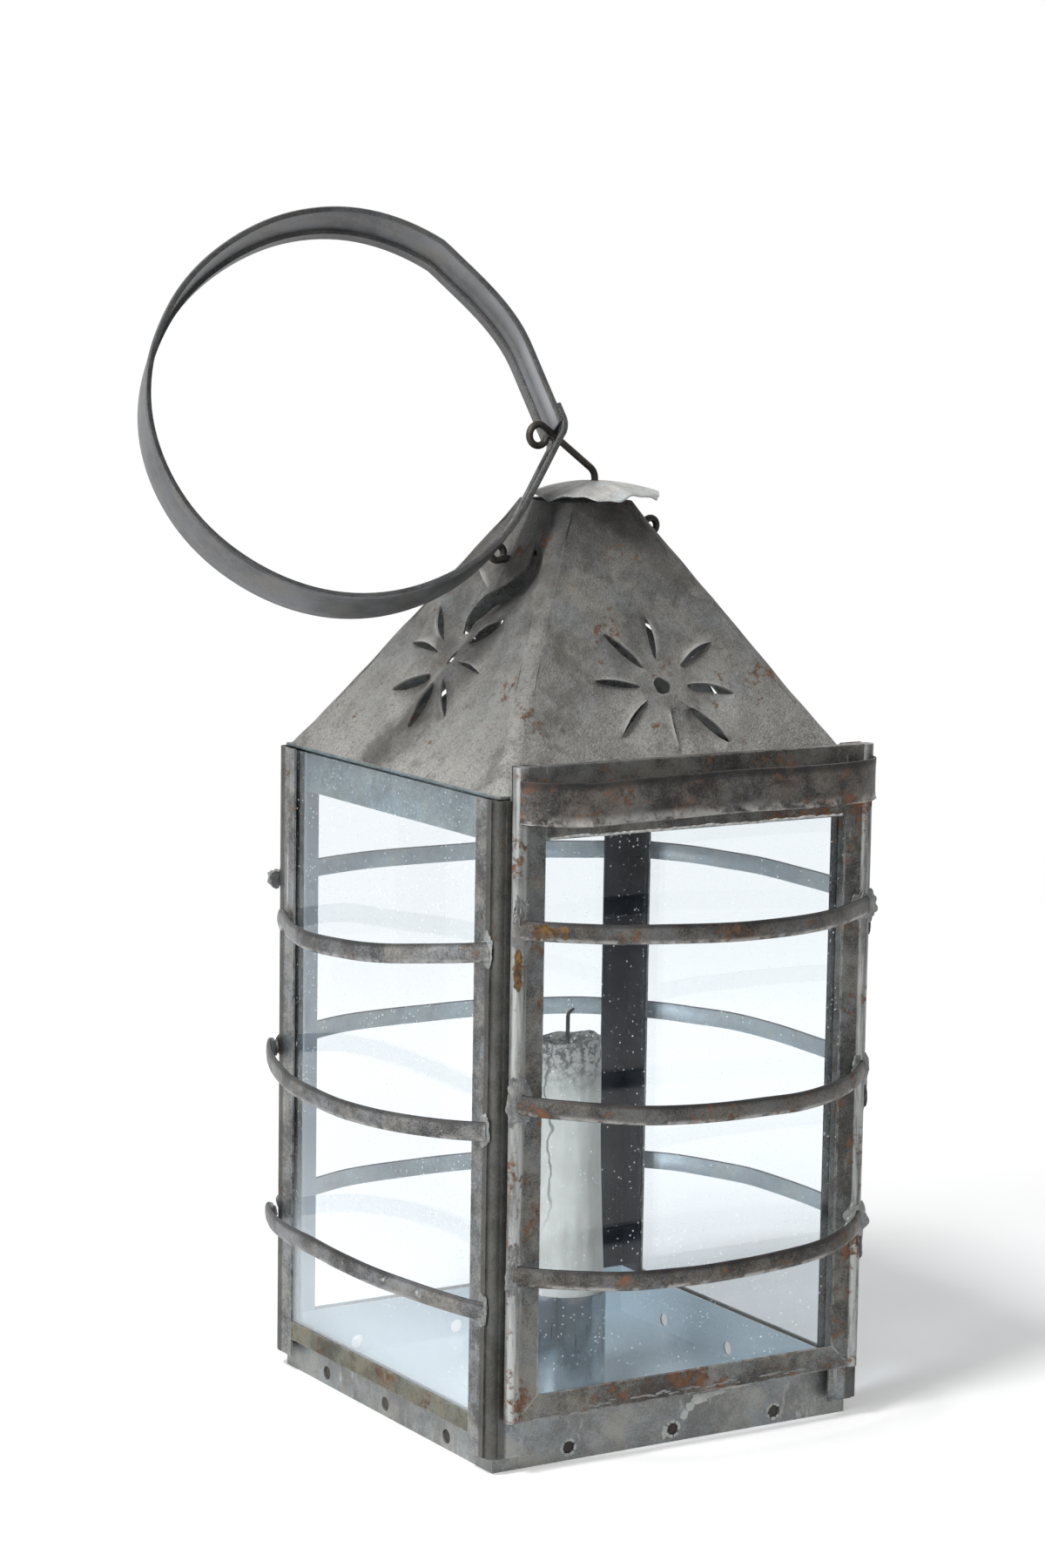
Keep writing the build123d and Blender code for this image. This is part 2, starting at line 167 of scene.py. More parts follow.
# %% [markdown]
# The next helpers make patterns. Noise gives clouds, a soft step turns a cloud into a mask with a
# chosen edge, and a mask lays one colour over another. Coordinates of the piece itself, in metres,
# keep a pattern on the sheet when the piece moves.

# %% Pattern helpers
def object_place(tree):
    """Coordinates that stay with the piece, in metres."""
    return tree.nodes.new("ShaderNodeTexCoord").outputs["Object"]


def stored(tree, name):
    """A number that the mesh keeps at each of its points."""
    return node(tree, "ShaderNodeAttribute", attribute_name=name).outputs["Fac"]


def cloud(tree, where, scale, detail=3.0, rough=0.55):
    """Plain noise value."""
    made = node(tree, "ShaderNodeTexNoise",
                {"Vector": where, "Scale": scale, "Detail": detail, "Roughness": rough})
    return made.outputs["Fac"]


def soft_step(tree, value, low, high, start=0.0, end=1.0):
    """Smooth change from start to end while the value goes from low to high."""
    made = node(tree, "ShaderNodeMapRange",
                {"Value": value, "From Min": low, "From Max": high, "To Min": start, "To Max": end},
                interpolation_type="SMOOTHSTEP")
    return made.outputs["Result"]


def mix_colour(tree, factor, under, over):
    """Lay one colour over another by a mask."""
    made = node(tree, "ShaderNodeMix", {0: factor, 6: under, 7: over}, data_type="RGBA")
    return made.outputs[2]


print("pattern helpers ready")

# %% [markdown]
# ## Shared effects
#
# Old tinned sheet is a stack of effects: a mottled grey skin, rust, pale bloom, bare bright metal on the
# edges, dust and soot. The same nodes could be drawn again in every material, but then a change has to
# be made many times. Each effect is one node group with named inputs, built once and placed in every
# finish in its own strength. A group puts out masks, values and colours, and no shaders.

# %% Group helpers
def make_group(name, inputs, outputs):
    """Start a node group with named sockets and return its tree, inputs and outputs."""
    tree = bpy.data.node_groups.new(name, "ShaderNodeTree")
    for label, value in inputs.items():
        socket = tree.interface.new_socket(name=label, in_out="INPUT", socket_type="NodeSocketFloat")
        socket.default_value = value
    for label in outputs:
        kind = "NodeSocketColor" if label.endswith("Colour") else "NodeSocketFloat"
        tree.interface.new_socket(name=label, in_out="OUTPUT", socket_type=kind)
    return tree, tree.nodes.new("NodeGroupInput").outputs, tree.nodes.new("NodeGroupOutput").inputs


def place_group(tree, group, **values):
    """Put a node group into a material; underscores in a value's name stand for spaces."""
    made = tree.nodes.new("ShaderNodeGroup")
    made.node_tree = group
    for name, value in values.items():
        made.inputs[name.replace("_", " ")].default_value = value
    return made.outputs


def seeded_place(tree, entry):
    """Coordinates moved by the group's seed, so that two finishes don't share their spots."""
    return vector_maths(tree, "ADD", object_place(tree), entry["Seed"])


print("group helpers ready")

# %% [markdown]
# ### Mottled skin
#
# The tin coat has dulled unevenly, in broad clouds, smaller patches and a fine grain. One noise with much
# detail would mix them all alike. Three noises, each with its own share, let the patches stay weak and
# the grain crisp. A fourth, slower one shifts the tint between cool and warm.

# %% Group: mottled skin of the sheet
mottle, entry, leave = make_group("mottled_skin", {"Size": 1.0, "Seed": 0.0}, ["Tone", "Grain", "Tint"])
where = seeded_place(mottle, entry)
sized = vector_maths(mottle, "SCALE", where, entry["Size"])
broad = soft_step(mottle, cloud(mottle, sized, scale=38, detail=5, rough=0.66), 0.28, 0.72)
patchy = soft_step(mottle, cloud(mottle, sized, scale=190, detail=5, rough=0.7), 0.30, 0.70)
grain = soft_step(mottle, cloud(mottle, sized, scale=1900, detail=3, rough=0.7), 0.32, 0.68)
summed = plus(mottle, times(mottle, broad, 0.46), times(mottle, patchy, 0.26))
summed = plus(mottle, summed, times(mottle, grain, 0.28))
tint = soft_step(mottle, cloud(mottle, where, scale=85, detail=4, rough=0.65), 0.36, 0.64)
mottle.links.new(soft_step(mottle, summed, 0.18, 0.82), leave["Tone"])
mottle.links.new(tint, leave["Tint"])
mottle.links.new(plus(mottle, patchy, times(mottle, grain, 0.6)), leave["Grain"])
print("made", mottle.name)

# %% [markdown]
# ### Rust
#
# Rust starts in specks where the tin is thin and grows into patches. Patches and specks are added, and
# whatever rises over a threshold is rust. A larger amount lowers the threshold, so the same spots
# grow, as they do on the sheet.

# %% Group: rust
RUST_DARK = (0.050, 0.033, 0.025, 1)
RUST_LIGHT = (0.165, 0.076, 0.038, 1)
rust, entry, leave = make_group("rust_bloom", {"Amount": 0.3, "Seed": 0.0}, ["Mask", "Rust Colour"])
where = seeded_place(rust, entry)
patch = cloud(rust, where, scale=75, detail=4, rough=0.62)
speck = cloud(rust, where, scale=520, detail=4, rough=0.7)
spread = plus(rust, times(rust, patch, 0.62), times(rust, speck, 0.38))
threshold = maths(rust, "SUBTRACT", 0.80, times(rust, entry["Amount"], 0.35))
rise = maths(rust, "SUBTRACT", spread, threshold)
shade = soft_step(rust, cloud(rust, where, scale=300, detail=3, rough=0.6), 0.35, 0.68)
rust.links.new(soft_step(rust, rise, -0.03, 0.05), leave["Mask"])
rust.links.new(mix_colour(rust, shade, RUST_DARK, RUST_LIGHT), leave["Rust Colour"])
print("made", rust.name)

# %% [markdown]
# ### Pale bloom
#
# Rain leaves pale oxide that runs down in streaks. Noise whose upright coordinate is shrunk is drawn out
# into streaks, and a slow noise keeps them in some areas only.

# %% Group: pale bloom in upright streaks
bloom, entry, leave = make_group("pale_bloom", {"Amount": 0.3, "Streak": 0.15, "Seed": 0.0}, ["Mask"])
where = seeded_place(bloom, entry)
stretch = node(bloom, "ShaderNodeCombineXYZ", {"X": 1.0, "Y": 1.0, "Z": entry["Streak"]})
drawn = vector_maths(bloom, "MULTIPLY", where, stretch.outputs[0])
streaks = cloud(bloom, drawn, scale=420, detail=4, rough=0.62)
areas = cloud(bloom, where, scale=48, detail=3, rough=0.6)
spread = plus(bloom, times(bloom, streaks, 0.6), times(bloom, areas, 0.4))
threshold = maths(bloom, "SUBTRACT", 0.74, times(bloom, entry["Amount"], 0.3))
rise = maths(bloom, "SUBTRACT", spread, threshold)
bloom.links.new(soft_step(bloom, rise, -0.04, 0.09), leave["Mask"])
print("made", bloom.name)

# %% [markdown]
# ### Bare edges
#
# Hands and cloths rub the coat off the edges. An edge can be found by comparing the face's own normal
# with one that is rounded over a small radius: they differ only near an edge. Noise breaks the line.

# %% Group: bare metal along the edges
bare_edge, entry, leave = make_group("bare_edge", {"Radius": 0.0008, "Amount": 0.6}, ["Mask"])
rounded = node(bare_edge, "ShaderNodeBevel", {"Radius": entry["Radius"]}, samples=4).outputs[0]
true_normal = node(bare_edge, "ShaderNodeNewGeometry").outputs["True Normal"]
turned = soft_step(bare_edge, vector_maths(bare_edge, "DOT_PRODUCT", rounded, true_normal), 0.97, 0.78)
flaws = cloud(bare_edge, object_place(bare_edge), scale=260, detail=4, rough=0.65)
worn = times(bare_edge, turned, soft_step(bare_edge, flaws, 0.40, 0.62))
bare_edge.links.new(times(bare_edge, worn, entry["Amount"]), leave["Mask"])
print("made", bare_edge.name)

# %% [markdown]
# ### Dust and soot
#
# Dust settles on what faces up, more of it low on the roof, where it slides to. Soot marks what lies
# inside the lantern, so it is found by how far a point is from the middle; on the tray and one post the
# same mask lays painted light instead. Both masks come from the place and the tilt of the surface alone.

# %% Group: dust on what faces up
dust, entry, leave = make_group("settled_dust", {"Low": 0.0, "High": 0.1, "Amount": 0.5}, ["Mask"])
tilt = axes_of(dust, node(dust, "ShaderNodeNewGeometry").outputs["Normal"])["Z"]
height = axes_of(dust, object_place(dust))["Z"]
lying = soft_step(dust, tilt, 0.1, 0.8)
low_down = soft_step(dust, height, entry["Low"], entry["High"], 1.0, 0.15)
fluff = soft_step(dust, cloud(dust, object_place(dust), scale=1500, detail=4, rough=0.7), 0.10, 0.80)
heap = times(dust, times(dust, lying, low_down), fluff)
dust.links.new(times(dust, heap, entry["Amount"]), leave["Mask"])
print("made", dust.name)

# %% Group: what lies inside, for soot and for painted light
soot, entry, leave = make_group("inside_soot_and_light", {"Half Width": 0.0615, "Amount": 0.0}, ["Mask"])
flat = axes_of(soot, object_place(soot))
reach = most(soot, maths(soot, "ABSOLUTE", flat["X"]), maths(soot, "ABSOLUTE", flat["Y"]))
inside = maths(soot, "LESS_THAN", reach, entry["Half Width"])
smoke = soft_step(soot, cloud(soot, object_place(soot), scale=90, detail=3, rough=0.6), 0.2, 0.7, 0.97, 1.0)
soot.links.new(times(soot, times(soot, inside, smoke), entry["Amount"]), leave["Mask"])
print("made", soot.name)

# %% [markdown]
# ### Corner folds and strip edges
#
# Two marks belong to shapes that several finishes share. A post is dark in the fold of its corner, where
# both distances from the middle are large. A strip is dark along its upper edge and, in places, pale along
# its lower one, partly rubbed wear and partly a painted highlight: how far across a point lies is a number
# stored in the strip's mesh.

# %% Group: dark fold at the corners
corner_inputs = {"From": 0.0588, "Edge": 0.0012, "Amount": 0.76}
corner_fold, entry, leave = make_group("corner_fold", corner_inputs, ["Mask"])
sides = axes_of(corner_fold, object_place(corner_fold))
lesser = maths(corner_fold, "MINIMUM", maths(corner_fold, "ABSOLUTE", sides["X"]),
               maths(corner_fold, "ABSOLUTE", sides["Y"]))
in_corner = soft_step(corner_fold, lesser, entry["From"], plus(corner_fold, entry["From"], entry["Edge"]))
corner_fold.links.new(times(corner_fold, in_corner, entry["Amount"]), leave["Mask"])
print("made", corner_fold.name)

# %% Group: dark upper edge and partly painted highlight along the lower edge of a strip
strip_edges, entry, leave = make_group("strip_edges", {"Dark": 0.75, "Bright": 0.85}, ["Upper", "Lower"])
across = stored(strip_edges, "across")
upper = soft_step(strip_edges, across, 0.45, 0.85)
flaws = cloud(strip_edges, object_place(strip_edges), scale=120, detail=4, rough=0.7)
places = soft_step(strip_edges, flaws, 0.43, 0.58)
# pale lower edge in places: partly rubbed wear, partly a painted highlight
lower = times(strip_edges, soft_step(strip_edges, across, -0.40, -0.88), places)
strip_edges.links.new(times(strip_edges, upper, entry["Dark"]), leave["Upper"])
strip_edges.links.new(times(strip_edges, lower, entry["Bright"]), leave["Lower"])
print("made", strip_edges.name)

# %% [markdown]
# ## Finishes of the sheet metal
#
# A finish starts from a dark and a light tone of its own, mixed by the mottled skin. Over them come the
# colours of bloom, dust, rust, bare metal and soot, which all finishes share.

# %% Colours of old tin
# pale bloom, also used for the painted highlight on the door's beads
PALE_BLOOM_AND_HIGHLIGHT = (0.46, 0.48, 0.47, 1)
DUST_GREY = (0.40, 0.395, 0.37, 1)
# bare metal on worn edges, also the painted highlight on the roof's proud lips
BARE_METAL_AND_LIP_HIGHLIGHT = (0.50, 0.49, 0.47, 1)
SOOT_BLUE = (0.012, 0.016, 0.024, 1)
RUBBED_BRIGHT = (0.46, 0.48, 0.51, 1)
CORNER_DARK = (0.048, 0.046, 0.038, 1)
STRIP_DARK = (0.022, 0.021, 0.022, 1)
# pale lower strip edge: partly wear, partly a painted highlight
STRIP_RUB_AND_HIGHLIGHT = (0.42, 0.41, 0.39, 1)
COOL_TINT = (0.93, 1.0, 1.05)
WARM_TINT = (1.05, 1.0, 0.90)


def new_material(name):
    """Empty node material with its output."""
    material = bpy.data.materials.new(name)
    material.use_nodes = True
    material.node_tree.nodes.clear()
    return material, material.node_tree, material.node_tree.nodes.new("ShaderNodeOutputMaterial")


def sheet_tones(tree, skin, dark, light):
    """Dark and light tones of the sheet, the light one shifting between cool and warm."""
    cool = [c * k for c, k in zip(light, COOL_TINT)]
    warm = [c * k for c, k in zip(light, WARM_TINT)]
    lit = mix_colour(tree, skin["Tint"], (*cool, 1), (*warm, 1))
    return mix_colour(tree, skin["Tone"], (*dark, 1), lit)


print("colours of old tin set")

# %% [markdown]
# Two marks belong to one finish each, so they are plain functions that take the colour so far and lay
# more over it: the door's beads get pale streaks, partly bloom and partly a painted highlight, and the
# roof gets stains, a painted shadow of the cap on its top, painted shade in its dents and a painted
# highlight on its proud lips. They find their place from the coordinates or from a number stored in the
# mesh, so they stay where they are, seen from any side.

# %% Pale streaks on the door's beads: partly bloom, partly a painted highlight
BEAD_STREAK = (1, 1, 0.07)
BEAD_EDGE = 1.0 * MM


def bead_bloom_and_highlight(tree, colour, bead_from):
    """Pale upright streaks on the beads, partly bloom and partly a painted highlight; the beads start at a
    distance from the middle.
    """
    away = maths(tree, "ABSOLUTE", axes_of(tree, object_place(tree))["X"])
    drawn = vector_maths(tree, "MULTIPLY", object_place(tree), BEAD_STREAK)
    streaks = soft_step(tree, cloud(tree, drawn, scale=520, detail=3, rough=0.6), 0.36, 0.62, 0.15, 0.80)
    on_bead = times(tree, soft_step(tree, away, bead_from, bead_from + BEAD_EDGE), streaks)
    return mix_colour(tree, on_bead, colour, PALE_BLOOM_AND_HIGHLIGHT)


print("beads can be rubbed")

# %% Stains, painted shadow and painted shade of the roof
ROOF_STAIN = (0.072, 0.062, 0.050, 1)
ROOF_FLECK = (0.045, 0.043, 0.040, 1)
# colour and heights of the painted shadow under the cap
CAP_SHADOW_PAINT = (0.030, 0.029, 0.028, 1)
CAP_SHADOW_FROM_Z = 0.246
CAP_SHADOW_FULL_Z = 0.270
PAINTED_DENT_SHADE = (0.034, 0.033, 0.032, 1)


def roof_stains_and_painted_shade(tree, colour):
    """Stains, flecks, a painted cap shadow at the top, painted shade in the dents, painted highlight on proud
    lips.
    """
    place = object_place(tree)
    stain = soft_step(tree, cloud(tree, place, scale=46, detail=6, rough=0.68), 0.50, 0.64, 0.0, 0.55)
    colour = mix_colour(tree, stain, colour, ROOF_STAIN)
    fleck = soft_step(tree, cloud(tree, place, scale=620, detail=4, rough=0.75), 0.54, 0.68, 0.0, 0.50)
    colour = mix_colour(tree, fleck, colour, ROOF_FLECK)
    # painted shadow of the cap: the roof darkens towards its top
    cap_shadow = soft_step(tree, axes_of(tree, place)["Z"], CAP_SHADOW_FROM_Z, CAP_SHADOW_FULL_Z, 0.0, 0.55)
    colour = mix_colour(tree, cap_shadow, colour, CAP_SHADOW_PAINT)
    # painted shade in the dents and a painted highlight on the proud lips, both from the stored depth
    dent = stored(tree, "dent")
    colour = mix_colour(tree, soft_step(tree, dent, 0.15, 1.1, 0.0, 0.50), colour, PAINTED_DENT_SHADE)
    return mix_colour(tree, soft_step(tree, dent, -0.08, -0.40, 0.0, 0.55), colour, BARE_METAL_AND_LIP_HIGHLIGHT)


print("roof can be weathered")

# %% [markdown]
# One function stacks the shared effects and the marks into a finish, in the order in which they came to
# the sheet. Rust, bloom and dust are dull, so their masks also raise the roughness and lower the metal's
# shine. An effect that a finish doesn't have is left out of it.

# %% Stack a tin finish
DULL_ROUGHNESS = 0.85
DULL_METALLIC = 0.05
RUST_HEIGHT = 0.5
RELIEF_DEPTH = 0.3 * MM


def tin(name, dark, light, rusty=0.3, pale=0.3, streak=0.15, edge=0.5, dusty=0.0, dust_low=0.0,
        dust_high=0.3, sooty=0.0, inside=SOOT_BLUE, half_width=0.0615, metallic=0.55, rough=0.46, size=1.0,
        seed=0.0, relief=0.45, bead_from=None, corner_from=None, banded=False, dented=False, rubbed=False):
    """Aged tinned sheet: tones, then bloom, dust, rust, bare edges, soot and painted light and shade, laid
    over each other.
    """
    material, tree, output = new_material(name)
    skin = place_group(tree, mottle, Size=size, Seed=seed)
    spots = place_group(tree, rust, Amount=rusty, Seed=seed)
    streaks = place_group(tree, bloom, Amount=pale, Streak=streak, Seed=seed)["Mask"]
    dull = most(tree, spots["Mask"], streaks)
    colour = mix_colour(tree, streaks, sheet_tones(tree, skin, dark, light), PALE_BLOOM_AND_HIGHLIGHT)
    if bead_from:
        colour = bead_bloom_and_highlight(tree, colour, bead_from)
    if rubbed:
        colour = mix_colour(tree, stored(tree, "rub"), colour, RUBBED_BRIGHT)
    if dusty:
        settled = place_group(tree, dust, Low=dust_low, High=dust_high, Amount=dusty)["Mask"]
        colour = mix_colour(tree, settled, colour, DUST_GREY)
        dull = most(tree, dull, settled)
    if dented:
        colour = roof_stains_and_painted_shade(tree, colour)
    colour = mix_colour(tree, spots["Mask"], colour, spots["Rust Colour"])
    if edge:
        colour = mix_colour(tree, place_group(tree, bare_edge, Amount=edge)["Mask"], colour, BARE_METAL_AND_LIP_HIGHLIGHT)
    if corner_from:
        fold = place_group(tree, corner_fold, From=corner_from)["Mask"]
        colour = mix_colour(tree, fold, colour, CORNER_DARK)
    if banded:
        rims = place_group(tree, strip_edges)
        colour = mix_colour(tree, rims["Upper"], colour, STRIP_DARK)
        # pale lower edge: partly wear, partly a painted highlight
        colour = mix_colour(tree, rims["Lower"], colour, STRIP_RUB_AND_HIGHLIGHT)
    # soot inside; where the inside colour is pale, it is painted light from the glass
    if sooty:
        inside_mask = place_group(tree, soot, Half_Width=half_width, Amount=sooty)["Mask"]
        colour = mix_colour(tree, inside_mask, colour, inside)
    roughness = soft_step(tree, dull, 0.0, 1.0, rough, DULL_ROUGHNESS)
    shine = soft_step(tree, dull, 0.0, 1.0, metallic, DULL_METALLIC)
    height = plus(tree, skin["Grain"], times(tree, spots["Mask"], RUST_HEIGHT))
    bump = node(tree, "ShaderNodeBump",
                {"Height": height, "Strength": relief, "Distance": RELIEF_DEPTH * relief})
    shader = node(tree, "ShaderNodeBsdfPrincipled",
                  {"Base Color": colour, "Roughness": roughness, "Metallic": shine,
                   "Normal": bump.outputs[0]})
    tree.links.new(shader.outputs[0], output.inputs["Surface"])
    return material


print("tin finishes can be made")

# %% [markdown]
# The roof is dusty and grey, the posts are darker and streaked, and the tray is paler. The inside of the
# tray and of one post catches the light through the glass, so it gets a pale inner colour, painted light,
# in place of soot. Only strengths and tones differ, so each finish is one call.

# %% Finishes of the roof, posts and tray
roof_tin = tin("roof_tin", (0.048, 0.047, 0.045), (0.205, 0.204, 0.197), rusty=0.56, pale=0.18,
               streak=0.6, edge=0.3, dusty=1.60, dust_low=0.186, dust_high=0.246, metallic=0.35, rough=0.55,
               relief=0.95, dented=True)
skirt_tin = tin("skirt_tin", (0.13, 0.165, 0.180), (0.27, 0.32, 0.345), rusty=0.02, pale=0.35, streak=0.4,
                edge=0.3)
cap_tin = tin("cap_tin", (0.27, 0.27, 0.268), (0.62, 0.62, 0.61), rusty=0.22, pale=0.50, streak=0.9, edge=0.4,
              dusty=0.4, dust_low=0.0, dust_high=1.0, metallic=0.4, seed=1.7)
POST_LOOK = {"dark": (0.060, 0.062, 0.062), "light": (0.290, 0.298, 0.300), "rusty": 0.54, "pale": 0.42,
             "streak": 0.06, "edge": 0.7, "sooty": 1.0, "seed": 0.3, "corner_from": 0.0588}
post_tin = tin("post_tin", **POST_LOOK)
# its pale inside is painted light that comes through the glass
lit_post_tin = tin("lit_post_tin", inside=(0.44, 0.49, 0.54, 1), **POST_LOOK)
rail_tin = tin("rail_tin", (0.055, 0.052, 0.036), (0.190, 0.180, 0.140), rusty=0.62, pale=0.20, streak=0.5,
               seed=0.5)
# the tray's pale inside colour is painted light that comes through the glass
tray_tin = tin("tray_tin", (0.145, 0.151, 0.150), (0.300, 0.310, 0.310), rusty=0.36, pale=0.48, streak=0.30,
               sooty=1.0, inside=(0.61, 0.69, 0.74, 1), half_width=0.0612, metallic=0.45, rough=0.36,
               seed=0.7)
socket_tin = tin("socket_tin", (0.30, 0.325, 0.345), (0.42, 0.45, 0.47), rusty=0.02, pale=0.12, streak=0.2,
                 edge=0.2, metallic=0.95, rough=0.10, seed=1.9, relief=0.1)
print("roof, post and tray finishes ready")

# %% [markdown]
# The door, its pull and its strips are brown with rust, the side strips are greyer, and the ring is a
# smooth, dark strip whose hems are darker, painted shade of their folds. The strips' inner faces are
# pale, a painted reflection of the bright room seen through the glass.

# %% Finishes of the door, strips and ring
door_tin = tin("door_tin", (0.045, 0.043, 0.040), (0.205, 0.203, 0.195), rusty=0.70, pale=0.28, streak=0.06,
               edge=0.8, seed=0.9, bead_from=0.0568)
pull_tin = tin("pull_tin", (0.036, 0.032, 0.030), (0.170, 0.158, 0.150), rusty=0.76, pale=0.14, streak=0.6,
               edge=0.9, seed=1.1, banded=True)
strip_tin = tin("strip_tin", (0.030, 0.027, 0.025), (0.150, 0.142, 0.135), rusty=0.68, pale=0.26, streak=0.8,
                seed=1.3, banded=True)
side_strip_tin = tin("side_strip_tin", (0.050, 0.050, 0.051), (0.245, 0.246, 0.247), rusty=0.54, pale=0.34,
                     streak=0.8, seed=1.4, banded=True)
# pale inner faces of the strips: a painted reflection of the bright room
strip_back_reflection_tin = tin("strip_back_reflection_tin", (0.36, 0.40, 0.43), (0.54, 0.585, 0.61), rusty=0.04, pale=0.2,
                     streak=0.8, edge=0.2, metallic=0.3, rough=0.35, seed=2.1, relief=0.2)
ring_tin = tin("ring_tin", (0.055, 0.056, 0.059), (0.128, 0.130, 0.136), rusty=0.34, pale=0.04, streak=0.9,
               edge=0.0, metallic=0.26, rough=0.42, seed=1.5, rubbed=True, relief=0.18)
# darker hems: painted shade of the folded rims
hem_shade_tin = tin("hem_shade_tin", (0.036, 0.036, 0.037), (0.085, 0.085, 0.086), rusty=0.30, pale=0.02, streak=0.9,
              edge=0.0, metallic=0.50, rough=0.40, seed=1.6)
print("door, strip and ring finishes ready")

# %% [markdown]
# ## Wire, solder and flux
#
# The wires are dark iron. Solder is soft, pale and lumpy, burnt flux leaves amber stains, and old
# solder on the tray has turned to a white crust. All are built from the same groups as the sheet, with
# their own tones and a finer size.

# %% Wire and solder finishes
iron_wire = tin("iron_wire", (0.030, 0.027, 0.025), (0.085, 0.072, 0.062), rusty=0.42, pale=0.04, streak=0.9,
                edge=0.3, metallic=0.6, rough=0.5)
solder_grey = tin("solder_grey", (0.130, 0.133, 0.132), (0.325, 0.332, 0.330), rusty=0.28, pale=0.42,
                  streak=0.6, edge=0.2, metallic=0.5, rough=0.42, size=1.6)
flux_stain = tin("flux_stain", (0.055, 0.028, 0.012), (0.300, 0.160, 0.040), rusty=0.74, pale=0.02,
                 streak=0.5, edge=0.1, metallic=0.1, rough=0.30, size=2.4, relief=0.9)
crust_white = tin("crust_white", (0.36, 0.38, 0.38), (0.60, 0.62, 0.61), rusty=0.10, pale=0.5, streak=0.6,
                  edge=0.1, metallic=0.15, rough=0.7, size=2.0)
print("wire and solder finishes ready")

# %% [markdown]
# ## Glass
#
# The panes are old window glass, clear with a cold tint, with dust specks and wipe marks. A pane that
# bends light hides the lamps from what is behind it, so for rays from lamps and rays from dull
# surfaces it is swapped for a plain see-through shader. Dust is a second, dull shader, laid over the
# glass by a mask. Its faint glow stands for the light that dust takes up from behind the pane.

# %% Dust on the glass, with painted light in the left pane's haze
pane_glass, tree, output = new_material("pane_glass")
LEFT_PANE_X = (-0.0600, -0.0612)
HAZE_Z = (0.085, 0.020)
LEFT_HAZE_AND_LIGHT = 0.17
place = object_place(tree)
dots = node(tree, "ShaderNodeTexVoronoi", {"Vector": place, "Scale": 720, "Randomness": 1.0})
shown = soft_step(tree, dots.outputs["Distance"], 0.26, 0.08, 0.0, 0.55)
chosen = node(tree, "ShaderNodeSeparateColor", {0: dots.outputs["Color"]}).outputs[0]
kept = soft_step(tree, chosen, 0.62, 0.95)
drift = soft_step(tree, cloud(tree, place, scale=55, detail=3, rough=0.6), 0.35, 0.65, 0.35, 1.0)
dotted = times(tree, times(tree, shown, kept), drift)
wiped = soft_step(tree, cloud(tree, place, scale=30, detail=5, rough=0.65), 0.45, 0.75, 0.0, 0.012)
pane_axes = axes_of(tree, place)
# the left pane's haze, thicker low down: dust, and painted light from the left lamps scattered in it
on_left = soft_step(tree, pane_axes["X"], *LEFT_PANE_X)
haze_and_light = times(tree, on_left, soft_step(tree, pane_axes["Z"], *HAZE_Z, 0.0, LEFT_HAZE_AND_LIGHT))
film_mask = most(tree, dotted, most(tree, wiped, haze_and_light))
print("dust on the glass ready")

# %% Glass finish
GLASS_TINT = (0.944, 0.972, 0.990, 1)
GLASS_IOR = 1.3
clear = node(tree, "ShaderNodeBsdfPrincipled",
             {"Base Color": GLASS_TINT, "Roughness": 0.0, "IOR": GLASS_IOR, "Transmission Weight": 1.0})
open_way = node(tree, "ShaderNodeBsdfTransparent", {"Color": GLASS_TINT})
path = node(tree, "ShaderNodeLightPath").outputs
dull_light = most(tree, path["Is Shadow Ray"], path["Is Diffuse Ray"])
glass = node(tree, "ShaderNodeMixShader", {0: dull_light, 1: clear.outputs[0], 2: open_way.outputs[0]})
film = node(tree, "ShaderNodeBsdfPrincipled",
            {"Base Color": (0.88, 0.95, 1.0, 1), "Roughness": 0.9, "Emission Color": (0.93, 0.97, 1.0, 1),
             "Emission Strength": 0.40})
dusty_glass = node(tree, "ShaderNodeMixShader", {0: film_mask, 1: glass.outputs[0], 2: film.outputs[0]})
tree.links.new(dusty_glass.outputs[0], output.inputs["Surface"])
print("glass finish ready")

# %% [markdown]
# ## Wax, wick and fluff
#
# The wax is yellowed and cloudy, sooty near its burnt top, with one fine crack down the side that faces
# the room's light. Light enters wax a little before it comes back, so the shader has some subsurface.
# The wick is charred cotton and the fluff is plain dust: both are dull, with two tones mixed by noise.

# %% Wax finish
WAX_DEEP = (0.54, 0.53, 0.485, 1)
WAX_PALE = (0.67, 0.665, 0.63, 1)
WAX_SOOT = (0.085, 0.088, 0.088, 1)
WAX_CRACK = (0.11, 0.105, 0.10, 1)
CRACK_SIDE = (0.530, -0.848, 0.0)
CRACK_FACE = (-0.848, -0.530, 0.0)
CRACK_WANDER = 4.0 * MM
wax, tree, output = new_material("candle_wax")
place = object_place(tree)
high = axes_of(tree, place)["Z"]
clouded = soft_step(tree, cloud(tree, place, scale=60, detail=4, rough=0.6), 0.3, 0.7)
colour = mix_colour(tree, clouded, WAX_DEEP, WAX_PALE)
grimy = soft_step(tree, cloud(tree, place, scale=420, detail=5, rough=0.75), 0.44, 0.60)
sooty = times(tree, plus(tree, grimy, 0.42), soft_step(tree, high, 0.090, 0.110))
colour = mix_colour(tree, sooty, colour, WAX_SOOT)
bends = cloud(tree, place, scale=62, detail=3, rough=0.5)
wander = soft_step(tree, bends, 0.2, 0.8, -CRACK_WANDER, CRACK_WANDER)
off_line = maths(tree, "ABSOLUTE", plus(tree, vector_maths(tree, "DOT_PRODUCT", place, CRACK_SIDE), wander))
in_front = soft_step(tree, vector_maths(tree, "DOT_PRODUCT", place, CRACK_FACE), 0.0, 0.004)
crack_line = times(tree, soft_step(tree, off_line, 0.00070, 0.0002), in_front)
